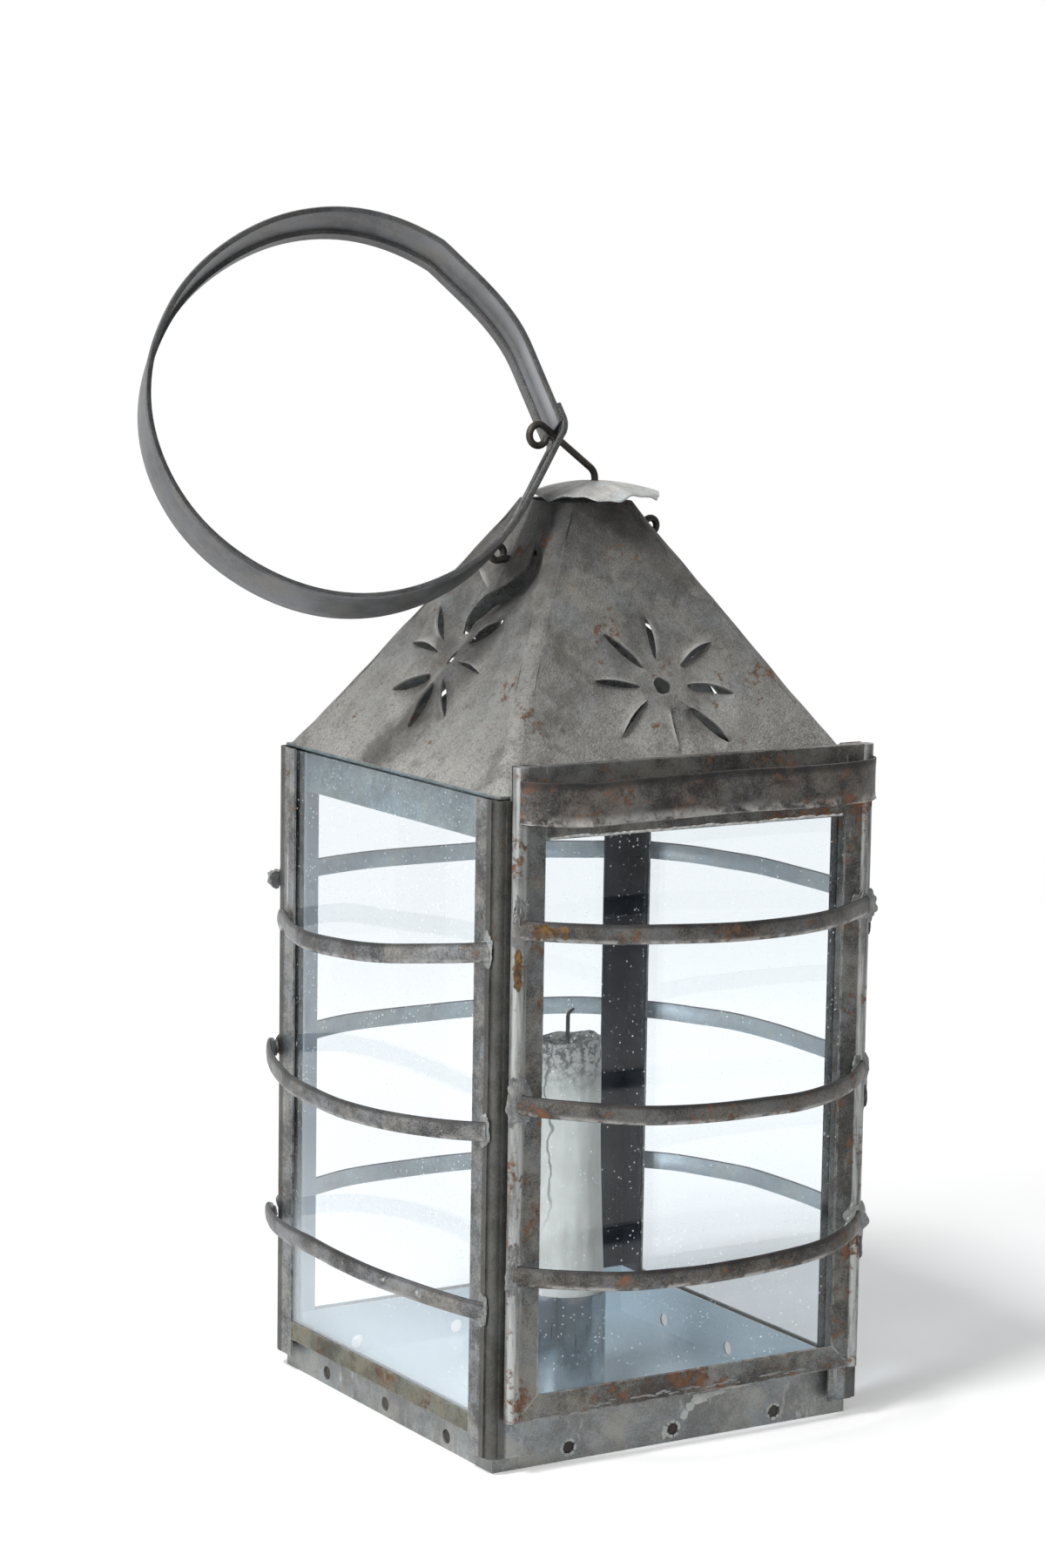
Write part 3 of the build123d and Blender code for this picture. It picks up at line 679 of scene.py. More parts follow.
crack_line = times(tree, crack_line, soft_step(tree, high, 0.046, 0.070, 0.0, 0.80))
colour = mix_colour(tree, crack_line, colour, WAX_CRACK)
uneven = cloud(tree, place, scale=240, detail=4, rough=0.6)
bump = node(tree, "ShaderNodeBump", {"Height": uneven, "Strength": 0.4, "Distance": 0.0003})
shader = node(tree, "ShaderNodeBsdfPrincipled",
              {"Base Color": colour, "Roughness": 0.52, "Subsurface Weight": 0.12, "Subsurface Scale": 0.003,
               "Normal": bump.outputs[0]})
tree.links.new(shader.outputs[0], output.inputs["Surface"])
print("wax finish ready")

# %% Wick and fluff finishes
speckle, entry, leave = make_group("fine_speckle", {"Scale": 800.0}, ["Tone"])
speckled = cloud(speckle, object_place(speckle), scale=entry["Scale"], detail=3, rough=0.6)
speckle.links.new(soft_step(speckle, speckled, 0.3, 0.7), leave["Tone"])


def two_tone(name, dark, light, scale, rough):
    """Dull finish of two tones, mixed by a fine speckle."""
    material, tree, output = new_material(name)
    colour = mix_colour(tree, place_group(tree, speckle, Scale=scale)["Tone"], dark, light)
    shader = node(tree, "ShaderNodeBsdfPrincipled", {"Base Color": colour, "Roughness": rough})
    tree.links.new(shader.outputs[0], output.inputs["Surface"])
    return material


char = two_tone("charred_cotton", (0.012, 0.011, 0.010, 1), (0.060, 0.052, 0.045, 1), scale=900, rough=0.9)
fluff_grey = two_tone("dust_fluff", (0.34, 0.34, 0.33, 1), (0.62, 0.62, 0.60, 1), scale=700, rough=0.95)
print("wick and fluff finishes ready")

# %% [markdown]
# ## Dress the solids that keep their shape
#
# Folded and flat pieces are right as they are: the tray, posts, rails, panes, wires, socket and door
# frame only need a finish. The finish goes into the material slots, and the mesh is left alone. A
# name's start picks the finish, and where two starts fit, the later one holds.

# %% Finishes on the solids
FINISH_BY_START = {
    "base_tray": tray_tin, "candle_socket": socket_tin, "cross_wire": iron_wire, "hanger_wire": iron_wire,
    "post_": post_tin, "post_back_left": lit_post_tin, "rail_": rail_tin, "pane_": pane_glass,
    "door_pane": pane_glass, "door_stile": door_tin, "door_bottom": door_tin, "door_top": door_tin,
}
dressed = 0
for name, solid in frame["nodes"].items():
    for start, finish in FINISH_BY_START.items():
        if name.startswith(start):
            for slot in solid.material_slots:
                slot.material = finish
            dressed += 1
print("finishes given to solids:", dressed)

# %% [markdown]
# ## A new piece
#
# Every new piece is made from a list of points and a list of faces. Modifiers could give many of the
# shapes too, but plain points and faces keep every number in sight and come out the same on each run.
# One helper turns them into a smooth object that rides on a body, takes the finish it is given and,
# where it stands for a solid, hides that solid.

# %% Make a piece
SHARP_ANGLE = math.radians(38)


def new_piece(name, points, faces, finish, body, replaced=(), sharp=SHARP_ANGLE):
    """Smooth mesh piece on a body, with sharp edges kept sharp."""
    mesh = bpy.data.meshes.new(name)
    mesh.from_pydata([tuple(p) for p in points], [], faces)
    shape = bmesh.new()
    shape.from_mesh(mesh)
    bmesh.ops.recalc_face_normals(shape, faces=shape.faces)
    for face in shape.faces:
        face.smooth = True
    shape.to_mesh(mesh)
    shape.free()
    mesh.set_sharp_from_angle(angle=sharp)
    mesh.materials.append(finish)
    piece = bpy.data.objects.new(name, mesh)
    scene.collection.objects.link(piece)
    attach(piece, body)
    if replaced:
        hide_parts(*replaced)
    return piece


print("pieces can be made")

# %% [markdown]
# ## The roof
#
# The roof is one sheet folded into a pyramid. Each side has a flower of slits, punched with a curved
# chisel: the upper lip of each slit stands a little proud and the lower one is pressed in, which dents
# the sheet around it. A bump map can't open a slit, so each side is triangulated as a flat sheet with
# the slits left out, and then the points beside the lips are moved. Rounded ridges join the four sides.

# %% Roof sizes
roof_low, roof_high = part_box("roof")
SKIRT_HEIGHT = 13.5 * MM
EAVE_Z = roof_low.z + SKIRT_HEIGHT
EAVE_HALF = roof_high.x
TOP_HALF = 13.2 * MM
RIDGE_RADIUS = 4.2 * MM
SHEET = 0.7 * MM
roof_rise = roof_high.z - EAVE_Z
roof_run = EAVE_HALF - TOP_HALF
slope_length = math.hypot(roof_rise, roof_run)
print("roof slope is", round(slope_length / MM, 1), "mm long")

# %% [markdown]
# A slit is written as its two ends on the flat side, measured along the eave and up the slope in
# millimetres, then how far it gapes and how deep its lip is pressed. The chisel was curved: the lip that
# stays level is an arc, the other is straight and pressed in, and it lies to the right of the way from
# the first end to the second. The flower was punched by hand, so no two slits are alike. The two far
# sides repeat the front's flower, less open and less deep. A side is named by its turn in degrees: 0 is
# the front, 90 the right, 180 the back and 270 the left.

# %% Slits of the flowers
FRONT_SLITS = [
    ((-12.4, 48.9), (-2.3, 36.9), 1.4, 1.9), ((3.8, 54.0), (2.7, 39.3), 1.3, 1.5),
    ((10.2, 37.4), (23.7, 44.5), 1.9, 2.0), ((10.4, 31.1), (25.7, 27.4), 2.0, 2.0),
    ((9.0, 24.1), (19.0, 11.8), 1.5, 2.1), ((1.0, 9.9), (2.0, 23.9), 0.9, 1.3),
    ((-17.1, 15.8), (-4.7, 26.9), 1.5, 1.6), ((-20.3, 34.1), (-5.6, 31.3), 1.2, 1.8),
]
LEFT_SLITS = [
    ((-10.7, 42.7), (-21.3, 53.2), 1.4, 1.2), ((-25.1, 39.8), (-11.0, 39.3), 1.6, 2.2),
    ((-22.3, 24.2), (-10.0, 32.2), 0.7, 3.2), ((-2.5, 13.7), (-3.5, 29.2), 0.8, 2.2),
    ((13.2, 19.2), (1.7, 30.9), 1.2, 1.2), ((4.4, 36.7), (18.2, 34.8), 1.3, 2.0),
    ((3.4, 43.1), (14.8, 52.8), 1.1, 2.4), ((-11.3, 66.9), (-0.9, 60.7), 0.35, 0.5),
]
LEFT = 270
print("front flower has", len(FRONT_SLITS), "slits, the left one", len(LEFT_SLITS))

# %% Places along a slit
FLOWER_AT = {0: (1.9, 31.3), 90: (0.0, 31.3), 180: (0.0, 31.3), LEFT: (-2.0, 38.2)}
GAPE_SCALE = 0.7
FAR_GAPE = 0.3
FAR_PRESS = 0.35


def slits_of(turn):
    """All slits of one side; the far sides repeat the front's flower about their own middle."""
    if turn == LEFT:
        return [(start, end, gape * GAPE_SCALE, press) for start, end, gape, press in LEFT_SLITS]
    shift = FLOWER_AT[turn][0] - FLOWER_AT[0][0]
    narrow, shallow = (GAPE_SCALE, 1.0) if turn == 0 else (FAR_GAPE, FAR_PRESS)
    return [((x0 + shift, s0), (x1 + shift, s1), gape * narrow, press * shallow)
            for (x0, s0), (x1, s1), gape, press in FRONT_SLITS]


def slit_place(slit, x, s):
    """Place along a slit, from -1 to 1, and across it, the pressed side negative, and its half length."""
    (x0, s0), (x1, s1) = slit[:2]
    half = math.hypot(x1 - x0, s1 - s0) / 2
    way = ((x1 - x0) / (2 * half), (s1 - s0) / (2 * half))
    dx = x - (x0 + x1) / 2
    ds = s - (s0 + s1) / 2
    return (dx * way[0] + ds * way[1]) / half, ds * way[0] - dx * way[1], half


def slit_point(slit, along, across):
    """Point of the side from its place along and across a slit."""
    (x0, s0), (x1, s1) = slit[:2]
    half = math.hypot(x1 - x0, s1 - s0) / 2
    way = ((x1 - x0) / (2 * half), (s1 - s0) / (2 * half))
    return ((x0 + x1) / 2 + along * half * way[0] - across * way[1],
            (s0 + s1) / 2 + along * half * way[1] + across * way[0])


def swell(along):
    """How open a slit is along its length, from 1 in its middle to 0 at its ends."""
    return max(0.0, 1 - along ** 2)


print("slits open by", GAPE_SCALE, "of their gape in front and", FAR_GAPE, "on the far sides")

# %% [markdown]
# On the left side the sheet is also torn, in one curved line that runs up round the eye of the wire. A
# smooth curve through a few points gives the line, and the tear opens to its pressed side. The depth at
# any point of a side is then the deepest press of its slits and its tear, less what stands proud.

# %% The torn line
TEAR = [(-4.7, 46.4), (-5.8, 51.4), (-4.8, 54.9), (-3.2, 58.5), (-0.7, 60.5), (7.4, 64.7), (10.9, 68.4),
        (12.0, 71.1), (10.2, 76.8)]
TEAR_STEPS = 6
TEAR_GAPE = 1.3
tear_line = []
for k, (start, end) in enumerate(zip(TEAR, TEAR[1:])):
    before = TEAR[max(k - 1, 0)]
    after = TEAR[min(k + 2, len(TEAR) - 1)]
    for step in range(TEAR_STEPS):
        t = step / TEAR_STEPS
        spot = []
        for p0, p1, p2, p3 in zip(before, start, end, after):
            spot.append(0.5 * (2 * p1 + (p2 - p0) * t + (2 * p0 - 5 * p1 + 4 * p2 - p3) * t ** 2
                               + (3 * p1 - p0 - 3 * p2 + p3) * t ** 3))
        tear_line.append(tuple(spot))
tear_line.append(TEAR[-1])


def tear_place(x, s):
    """Share of the way along the torn line nearest to a point, and the gap, the pressed side negative."""
    best = (0.0, math.inf)
    for k, ((x0, s0), (x1, s1)) in enumerate(zip(tear_line, tear_line[1:])):
        dx, ds = x1 - x0, s1 - s0
        t = min(1.0, max(0.0, ((x - x0) * dx + (s - s0) * ds) / (dx * dx + ds * ds)))
        gap = math.hypot(x - x0 - t * dx, s - s0 - t * ds)
        if gap < abs(best[1]):
            side = 1 if (s - s0) * dx - (x - x0) * ds > 0 else -1
            best = ((k + t) / (len(tear_line) - 1), side * gap)
    return best


def tear_open(share):
    """How open the tear is along its length, from 0 at its ends to 1 in its middle."""
    return math.sin(math.pi * share)


print("torn line has", len(tear_line), "points")

# %% Pressed lips
STRAIGHT_LIP = 0.15
LIP_FULLNESS = 0.6
PRESS_SCALE = 0.85
PRESS_REACH = 6.0
PRESS_FALL = 1.3
PROUD = 1.0
PROUD_REACH = 1.7
PROUD_MOST = 1.2
TEAR_PRESS = 4.6
TEAR_REACH = 8.0


def press_in(turn, x, s):
    """How far the sheet is pressed in at a point of one side, in millimetres."""
    depth = 0.0
    proud = 0.0
    for slit in slits_of(turn):
        along, across, half = slit_place(slit, x, s)
        gape, press = slit[2:]
        share = swell(along) ** LIP_FULLNESS
        if across < 0.5 * (gape - STRAIGHT_LIP) * swell(along):
            away = max(0.0, -across - STRAIGHT_LIP * swell(along))
            depth = max(depth, PRESS_SCALE * press * share * math.exp(-(away / PRESS_REACH) ** PRESS_FALL))
        else:
            proud += PROUD * share * math.exp(-(across - gape * swell(along)) / PROUD_REACH)
    if turn == LEFT:
        share, gap = tear_place(x, s)
        if gap < -0.5 * TEAR_GAPE * tear_open(share):
            depth = max(depth, TEAR_PRESS * tear_open(share) ** 0.5 * math.exp(-(gap / TEAR_REACH) ** 2))
    return depth - min(proud, PROUD_MOST * PROUD)


print("lips are pressed in by up to", round(PRESS_SCALE * max(slit[3] for slit in LEFT_SLITS), 1), "mm")

# %% [markdown]
# Each hole is an outline on the flat side: the two lips of a slit, a round and slightly ragged hole in
# the flower's middle and for the wire, and the two edges of the tear. A test that says whether a point
# lies in a hole keeps other points and triangles out of it.

# %% Holes of one roof side
FLOWER_HOLE = 2.75
WIRE_HOLE = 1.5
WIRE_HOLE_Z = {90: 259.8 * MM, LEFT: 254.8 * MM}
LIP_STEPS = 12
ROUND_STEPS = 24


def side_holes(turn):
    """Outlines of the slits and round holes of one side, and a test for points inside them."""
    slits = slits_of(turn)
    outlines = []
    for slit in slits:
        steps = [k / LIP_STEPS - 1 for k in range(2 * LIP_STEPS + 1)]
        level = [slit_point(slit, a, slit[2] * swell(a)) for a in steps]
        pressed = [slit_point(slit, a, -STRAIGHT_LIP * swell(a)) for a in reversed(steps[1:-1])]
        outlines.append(level + pressed)
    rounds = [(*FLOWER_AT[turn], FLOWER_HOLE)]
    if turn in WIRE_HOLE_Z:
        rounds.append((0.0, (WIRE_HOLE_Z[turn] - EAVE_Z) / roof_rise * slope_length / MM, WIRE_HOLE))
    for x, s, radius in rounds:
        turns = [math.tau * k / ROUND_STEPS for k in range(ROUND_STEPS)]
        ragged = [radius * (1 + 0.06 * math.sin(3 * a + x) + 0.05 * math.sin(5 * a)) for a in turns]
        outlines.append([(x + r * math.cos(a), s + r * math.sin(a)) for a, r in zip(turns, ragged)])
    if turn == LEFT:
        other = []
        for k in range(len(tear_line) - 2, 0, -1):
            (x0, s0), (x1, s1) = tear_line[k - 1], tear_line[k + 1]
            gape = TEAR_GAPE * tear_open(k / (len(tear_line) - 1)) / math.hypot(x1 - x0, s1 - s0)
            other.append((tear_line[k][0] + (s1 - s0) * gape, tear_line[k][1] - (x1 - x0) * gape))
        outlines.append(tear_line + other)

    def inside(x, s, margin=0.0):
        for cx, cs, radius in rounds:
            if math.hypot(x - cx, s - cs) < radius + margin:
                return True
        for slit in slits:
            along, across, half = slit_place(slit, x, s)
            open_here = swell(along / (1 + margin / half))
            if open_here > 0 and -STRAIGHT_LIP * open_here - margin < across < slit[2] * open_here + margin:
                return True
        if turn == LEFT:
            share, gap = tear_place(x, s)
            return -TEAR_GAPE * tear_open(share) - margin < gap < margin
        return False

    return outlines, inside


print("roof sides have", len(side_holes(0)[0]), "to", len(side_holes(LEFT)[0]), "holes")

# %% [markdown]
# A side is filled with triangles between its edges and its holes. Points in staggered rows give
# triangles of even size, and a constrained triangulation keeps the outlines as edges.

# %% Triangulate one roof side
ROWS = 60
GRID = 1.5
EDGE_ROOM = 0.6 * GRID
HOLE_ROOM = 0.45


def side_half(s):
    """Half the flat width of a side at a height up the slope, both in millimetres."""
    return (EAVE_HALF - RIDGE_RADIUS) / MM - roof_run * s / slope_length


def side_sheet(turn):
    """Flat triangles of one side with its holes left out, and its two ridge rows."""
    length = slope_length / MM
    heights = [length * k / ROWS for k in range(ROWS + 1)]
    flat = [(-side_half(s), s) for s in heights] + [(side_half(s), s) for s in heights]
    for s in (0.0, length):
        count = max(4, round(2 * side_half(s) / GRID))
        flat += [(side_half(s) * (2 * k / count - 1), s) for k in range(1, count)]
    outlines, inside = side_holes(turn)
    edges = []
    for outline in outlines:
        first = len(flat)
        flat += outline
        edges += [(first + k, first + (k + 1) % len(outline)) for k in range(len(outline))]
    row_gap = GRID * math.sqrt(3) / 2
    for row in range(1, int(length / row_gap)):
        s = row * row_gap
        half = side_half(s) - EDGE_ROOM
        steps = int(half / GRID)
        for k in range(-steps, steps + 1):
            x = (k + 0.5 * (row % 2)) * GRID
            if abs(x) < half and not inside(x, s, HOLE_ROOM):
                flat.append((x, s))
    placed, _, triangles, origin, _, _ = delaunay_2d_cdt([Vector(p) for p in flat], edges, [], 0, 1e-5)
    kept = []
    for triangle in triangles:
        if not inside(*(sum(placed[i][axis] for i in triangle) / 3 for axis in (0, 1))):
            kept.append(triangle)
    made_from = {source: made for made, sources in enumerate(origin) for source in sources}
    rows = ROWS + 1
    return placed, kept, [made_from[k] for k in range(rows)], [made_from[rows + k] for k in range(rows)]


print("a plain side has", len(side_sheet(0)[1]), "triangles")

# %% [markdown]
# Now the flat sides are leant onto the pyramid. A point that is pressed in moves along the slope's
# normal. The depth is stored at the points, so that the finish can paint shade into what is pressed in
# and a highlight onto what stands proud. A long crease crosses the left side, and all of it fades out
# at the ridges, which stay straight.

# %% Fold the sides
SIDE_TURNS = (0, 90, 180, LEFT)
RIDGE_CALM = 4
DENT_FULL = 2.4
CREASE_TOP = (4.0, 66.0)
CREASE_FOOT = (-15.0, 16.0)
CREASE_DEPTH = 2.4
CREASE_WIDTH = 5.5


def side_axes(turn):
    """Along and outward directions of one side."""
    angle = math.radians(turn)
    return Vector((math.cos(angle), math.sin(angle), 0)), Vector((math.sin(angle), -math.cos(angle), 0))


def slope_normal(outward):
    """Outward normal of the slope that faces a way."""
    return (outward * roof_rise + UP * roof_run).normalized()


def crease_in(x, s):
    """Depth of the long crease that crosses the left side."""
    along, across, half = slit_place((CREASE_FOOT, CREASE_TOP), x, s)
    return CREASE_DEPTH * swell(along) * math.exp(-(across / CREASE_WIDTH) ** 2)


roof_points, roof_normals, roof_faces, roof_dents = [], [], [], []
ridge_rows = []
for turn in SIDE_TURNS:
    along, outward = side_axes(turn)
    normal = slope_normal(outward)
    first = len(roof_points)
    placed, triangles, left_row, right_row = side_sheet(turn)
    for spot in placed:
        up_slope = spot.y * MM / slope_length
        half = EAVE_HALF - roof_run * up_slope
        point = outward * half + along * (spot.x * MM) + UP * (EAVE_Z + roof_rise * up_slope)
        edge_calm = min(1.0, max(0.0, (side_half(spot.y) - abs(spot.x)) / RIDGE_CALM))
        depth = press_in(turn, spot.x, spot.y)
        folded = crease_in(spot.x, spot.y) if turn == LEFT else 0.0
        roof_points.append(point - normal * ((depth + folded) * edge_calm * MM))
        roof_normals.append(normal)
        roof_dents.append(depth * edge_calm / DENT_FULL)
    roof_faces += [tuple(first + i for i in t) for t in triangles]
    ridge_rows.append(([first + i for i in left_row], [first + i for i in right_row]))
print("folded sides have", len(roof_faces), "triangles")

# %% [markdown]
# Between two sides the sheet turns round a ridge, in a few narrow rows from the last points of one side
# to the first of the next.

# %% Round the ridges
RIDGE_STEPS = 6
for side, turn in enumerate(SIDE_TURNS):
    along, outward = side_axes(turn)
    columns = [ridge_rows[side][1]]
    for step in range(1, RIDGE_STEPS):
        lean = math.radians(90 * step / RIDGE_STEPS)
        way = outward * math.cos(lean) + along * math.sin(lean)
        column = []
        for k in range(ROWS + 1):
            half = side_half(slope_length / MM * k / ROWS) * MM
            column.append(len(roof_points))
            corner = (outward + along) * half + UP * (EAVE_Z + roof_rise * k / ROWS)
            roof_points.append(corner + way * RIDGE_RADIUS)
            roof_normals.append(slope_normal(way))
            roof_dents.append(0.0)
        columns.append(column)
    columns.append(ridge_rows[(side + 1) % 4][0])
    for near, far in zip(columns, columns[1:]):
        roof_faces += [(near[k], far[k], far[k + 1], near[k + 1]) for k in range(ROWS)]
print("ridges rounded:", len(SIDE_TURNS))

# %% [markdown]
# At last the whole sheet gets soft dents of two sizes, from noise that is the same on each run. Its
# thickness comes from a second skin inside the first and a rim along every open edge, also in the slits.

# %% Dent and thicken helpers
def wobble(place, size, seed=0.0):
    """Repeatable soft noise from -1 to 1 at a place, for features of a given size."""
    return noise.noise(place / size + Vector((seed, seed * 1.7, seed * 2.3)))


def thicken(points, normals, faces, thickness):
    """Closed skin from an open one: an inner copy and a rim along the open edges."""
    count = len(points)
    inner = [p - n * thickness for p, n in zip(points, normals)]
    edges = {}
    for face in faces:
        for start, end in zip(face, face[1:] + face[:1]):
            edges[(start, end)] = True
    rim = [(end, start, start + count, end + count) for start, end in edges if (end, start) not in edges]
    back = [tuple(i + count for i in reversed(face)) for face in faces]
    return points + inner, [tuple(f) for f in faces] + back + rim


print("dent and thicken helpers ready")

# %% Dent and thicken the roof
DENT = 0.7 * MM
DENT_SIZE = 30 * MM
SMALL_DENT = 0.45 * MM
SMALL_DENT_SIZE = 9 * MM
RIM_CALM = 6 * MM
ROOF_SHARP = math.radians(62)
for k, (point, normal) in enumerate(zip(roof_points, roof_normals)):
    calm = min(1.0, (point.z - EAVE_Z) / RIM_CALM, (roof_high.z - point.z) / RIM_CALM)
    sunk = DENT * (0.5 + 0.5 * wobble(point, DENT_SIZE, seed=3.0))
    sunk += SMALL_DENT * (0.5 + 0.5 * wobble(point, SMALL_DENT_SIZE, seed=8.0))
    roof_points[k] = point - normal * (sunk * max(0.0, calm))
points, faces = thicken(roof_points, roof_normals, roof_faces, SHEET)
roof_sheet = new_piece("roof_sheet", points, faces, roof_tin, "lantern_body", ["roof"],
                       ROOF_SHARP)
dent = roof_sheet.data.attributes.new("dent", "FLOAT", "POINT")
dent.data.foreach_set("value", roof_dents + roof_dents)
print("roof sheet has", len(faces), "faces")

# %% [markdown]
# Under the eave the sheet turns in and then down, inside the posts, which keeps the roof in place. The
# eave plate and the skirt show through the left pane. Both are square walls, so one helper makes them.

# %% Eave plate and skirt
SKIRT_HALF = 60.8 * MM


def join(parts):
    """One list of points and faces from several."""
    points, faces = [], []
    for part_points, part_faces in parts:
        faces += [tuple(i + len(points) for i in f) for f in part_faces]
        points += part_points
    return points, faces


def square_ring(outer, inner, low, high):
    """Points and faces of a square tube wall between two half widths and two heights."""
    corners = [(-1, -1), (1, -1), (1, 1), (-1, 1)]
    points = []
    for half, height in ((outer, low), (outer, high), (inner, high), (inner, low)):
        points += [Vector((half * x, half * y, height)) for x, y in corners]
    faces = []
    for ring in range(4):
        for k in range(4):
            a = ring * 4 + k
            b = ring * 4 + (k + 1) % 4
            faces.append((a, b, (b + 4) % 16, (a + 4) % 16))
    return points, faces


eave_plate = square_ring(EAVE_HALF, SKIRT_HALF - SHEET, EAVE_Z - SHEET, EAVE_Z)
skirt = square_ring(SKIRT_HALF, SKIRT_HALF - SHEET, roof_low.z, EAVE_Z - SHEET)
points, faces = join([eave_plate, skirt])
new_piece("eave_skirt", points, faces, skirt_tin, "lantern_body")
print("eave skirt hangs", round(SKIRT_HEIGHT / MM, 1), "mm below the eave")

# %% [markdown]
# ## The cap
#
# A thin disc, beaten into a shallow dome, lies loose on the roof's open top. Its rim is ruffled from
# years of being knocked. A round grid is easy to bend: the dome comes from the distance to the
# middle, and the ruffles grow towards the rim.

# %% Cap
cap_low, cap_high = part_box("cap")
CAP_SHEET = 0.5 * MM
CAP_RINGS = 16
CAP_SPOKES = 120
CAP_HOLE = 1.45 * MM
CAP_LIFT = 0.8 * MM
CAP_CREASE = 0.28 * MM
CAP_RUFFLE = 0.55 * MM


def ring_faces(rows, size):
    """Four-sided faces between neighbouring rings of points, all of one size."""
    faces = []
    for row in range(rows - 1):
        for i in range(size):
            a = row * size + i
            b = row * size + (i + 1) % size
            faces.append((a, b, b + size, a + size))
    return faces


cap_middle = (cap_low + cap_high) / 2
cap_reach = (cap_high.y - cap_low.y) / 2
cap_rise = cap_high.z - cap_low.z - SHEET
cap_points = []
for ring in range(CAP_RINGS + 1):
    for spoke in range(CAP_SPOKES):
        angle = math.tau * spoke / CAP_SPOKES
        rim = cap_reach * (0.955 + 0.03 * math.cos(7 * angle + 0.8) + 0.015 * math.cos(11 * angle))
        radius = CAP_HOLE + (rim - CAP_HOLE) * ring / CAP_RINGS
        share = radius / cap_reach
        crease = CAP_CREASE * math.cos(17 * angle + 1.0) * share
        crease += CAP_RUFFLE * math.cos(6 * angle + 2.1) * share ** 3
        height = cap_low.z + CAP_SHEET + CAP_LIFT + cap_rise * (1 - share ** 2) + crease
        x = cap_middle.x + radius * math.cos(angle)
        y = cap_middle.y + radius * math.sin(angle)
        cap_points.append(Vector((x, y, height)))
cap_faces = [(a, d, c, b) for a, b, c, d in ring_faces(CAP_RINGS + 1, CAP_SPOKES)]
points, faces = thicken(cap_points, [UP] * len(cap_points), cap_faces, CAP_SHEET)
new_piece("ruffled_cap", points, faces, cap_tin, "lantern_body", ["cap"])
print("cap is", round(2 * cap_reach / MM, 1), "mm across")

# %% [markdown]
# ## The carrying ring
#
# The ring is a strip of sheet with a folded hem on each rim, bent round so that its ends lap over each
# other at a blunt tip. The record's ring mount gives its middle and its axis. The path goes down one
# straight, round the circle and back up the other straight, past the tip, so the second end lies on
# the first.

# %% Ring frame
RING_RADIUS = 58 * MM
RING_TIP_ANGLE = math.radians(23)
RING_DROOP = math.radians(5.5)
RING_INNER = 57.5 * MM
mounts = {mount["name"]: mount for mount in frame["record"]["mounts"]}
ring_normal = Vector(mounts["carrying_ring"]["axis"]).normalized()
ring_level = UP.cross(Vector((ring_normal.x, ring_normal.y, 0)).normalized())
tip_way = Quaternion(ring_normal, -RING_DROOP) @ ring_level
ring_up = ring_normal.cross(tip_way)
ring_middle = Vector(mounts["carrying_ring"]["pos_m"]) + tip_way * RING_INNER
print("ring middle at", [round(c / MM, 1) for c in ring_middle])

# %% Ring path
RING_STEP = 1.3 * MM
ARC_STEP = 2.2 * RING_STEP
KINK_FROM = math.radians(26)
KINK_TO = math.radians(62)
KINK_DEPTH = 1.3 * MM
KINK_PEAK = 4 / 27
LAP = 7.0 * MM
LAP_GAP = 1.25 * MM
LAP_BEND_STEPS = 8
LAP_END_STEPS = 4


def kinked_radius(angle):
    """Radius of the ring at an angle, with one kink where it was knocked in."""
    if not KINK_FROM < angle < KINK_TO:
        return RING_RADIUS
    share = (angle - KINK_FROM) / (KINK_TO - KINK_FROM)
    return RING_RADIUS - KINK_DEPTH * share ** 2 * (1 - share) / KINK_PEAK


def ring_route():
    """Points of the strip's middle line in the ring's plane, from the inner end to the lapped end."""
    tip = Vector((RING_RADIUS / math.cos(RING_TIP_ANGLE), 0))
    touch = Vector((RING_RADIUS * math.cos(RING_TIP_ANGLE), RING_RADIUS * math.sin(RING_TIP_ANGLE)))
    straight = (touch - tip).normalized()
    length = (touch - tip).length
    count = int(length / RING_STEP)
    route = [tip + straight * (length * k / count) for k in range(1, count)]
    round_angle = math.tau - 2 * RING_TIP_ANGLE
    arc_count = int(RING_RADIUS * round_angle / ARC_STEP)
    for k in range(arc_count + 1):
        angle = RING_TIP_ANGLE + round_angle * k / arc_count
        radius = kinked_radius(angle)
        route.append(Vector((radius * math.cos(angle), radius * math.sin(angle))))
    start = Vector((touch.x, -touch.y))
    outside = tip + Vector((LAP_GAP, 0))
    route += [start.lerp(outside, k / count) for k in range(1, count - 2)]
    bend = outside + Vector((straight.x, -straight.y)) * (2.5 * RING_STEP)
    lap_end = outside + straight * LAP
    for k in range(1, LAP_BEND_STEPS + 1):
        t = k / LAP_BEND_STEPS
        route.append(bend * (1 - t) ** 2 + outside * (2 * t * (1 - t)) + lap_end.lerp(outside, 0.6) * t ** 2)
    route += [outside.lerp(lap_end, 0.4 + 0.6 * k / LAP_END_STEPS) for k in range(1, LAP_END_STEPS + 1)]
    return route


route = ring_route()
print("ring path has", len(route), "points")

# %% [markdown]
# A sweep carries a cross-section along a path and joins the copies with faces. A curve with a bevel
# would do it too, but then the section's points couldn't carry stored numbers. The section here is the
# flat strip with its folded hems, in millimetres across and outward. The hems get a darker finish, painted
# shade of the folds, and near the inner end, where the eye of the wire slides, the inner face is rubbed
# bright: how much is stored at the points.

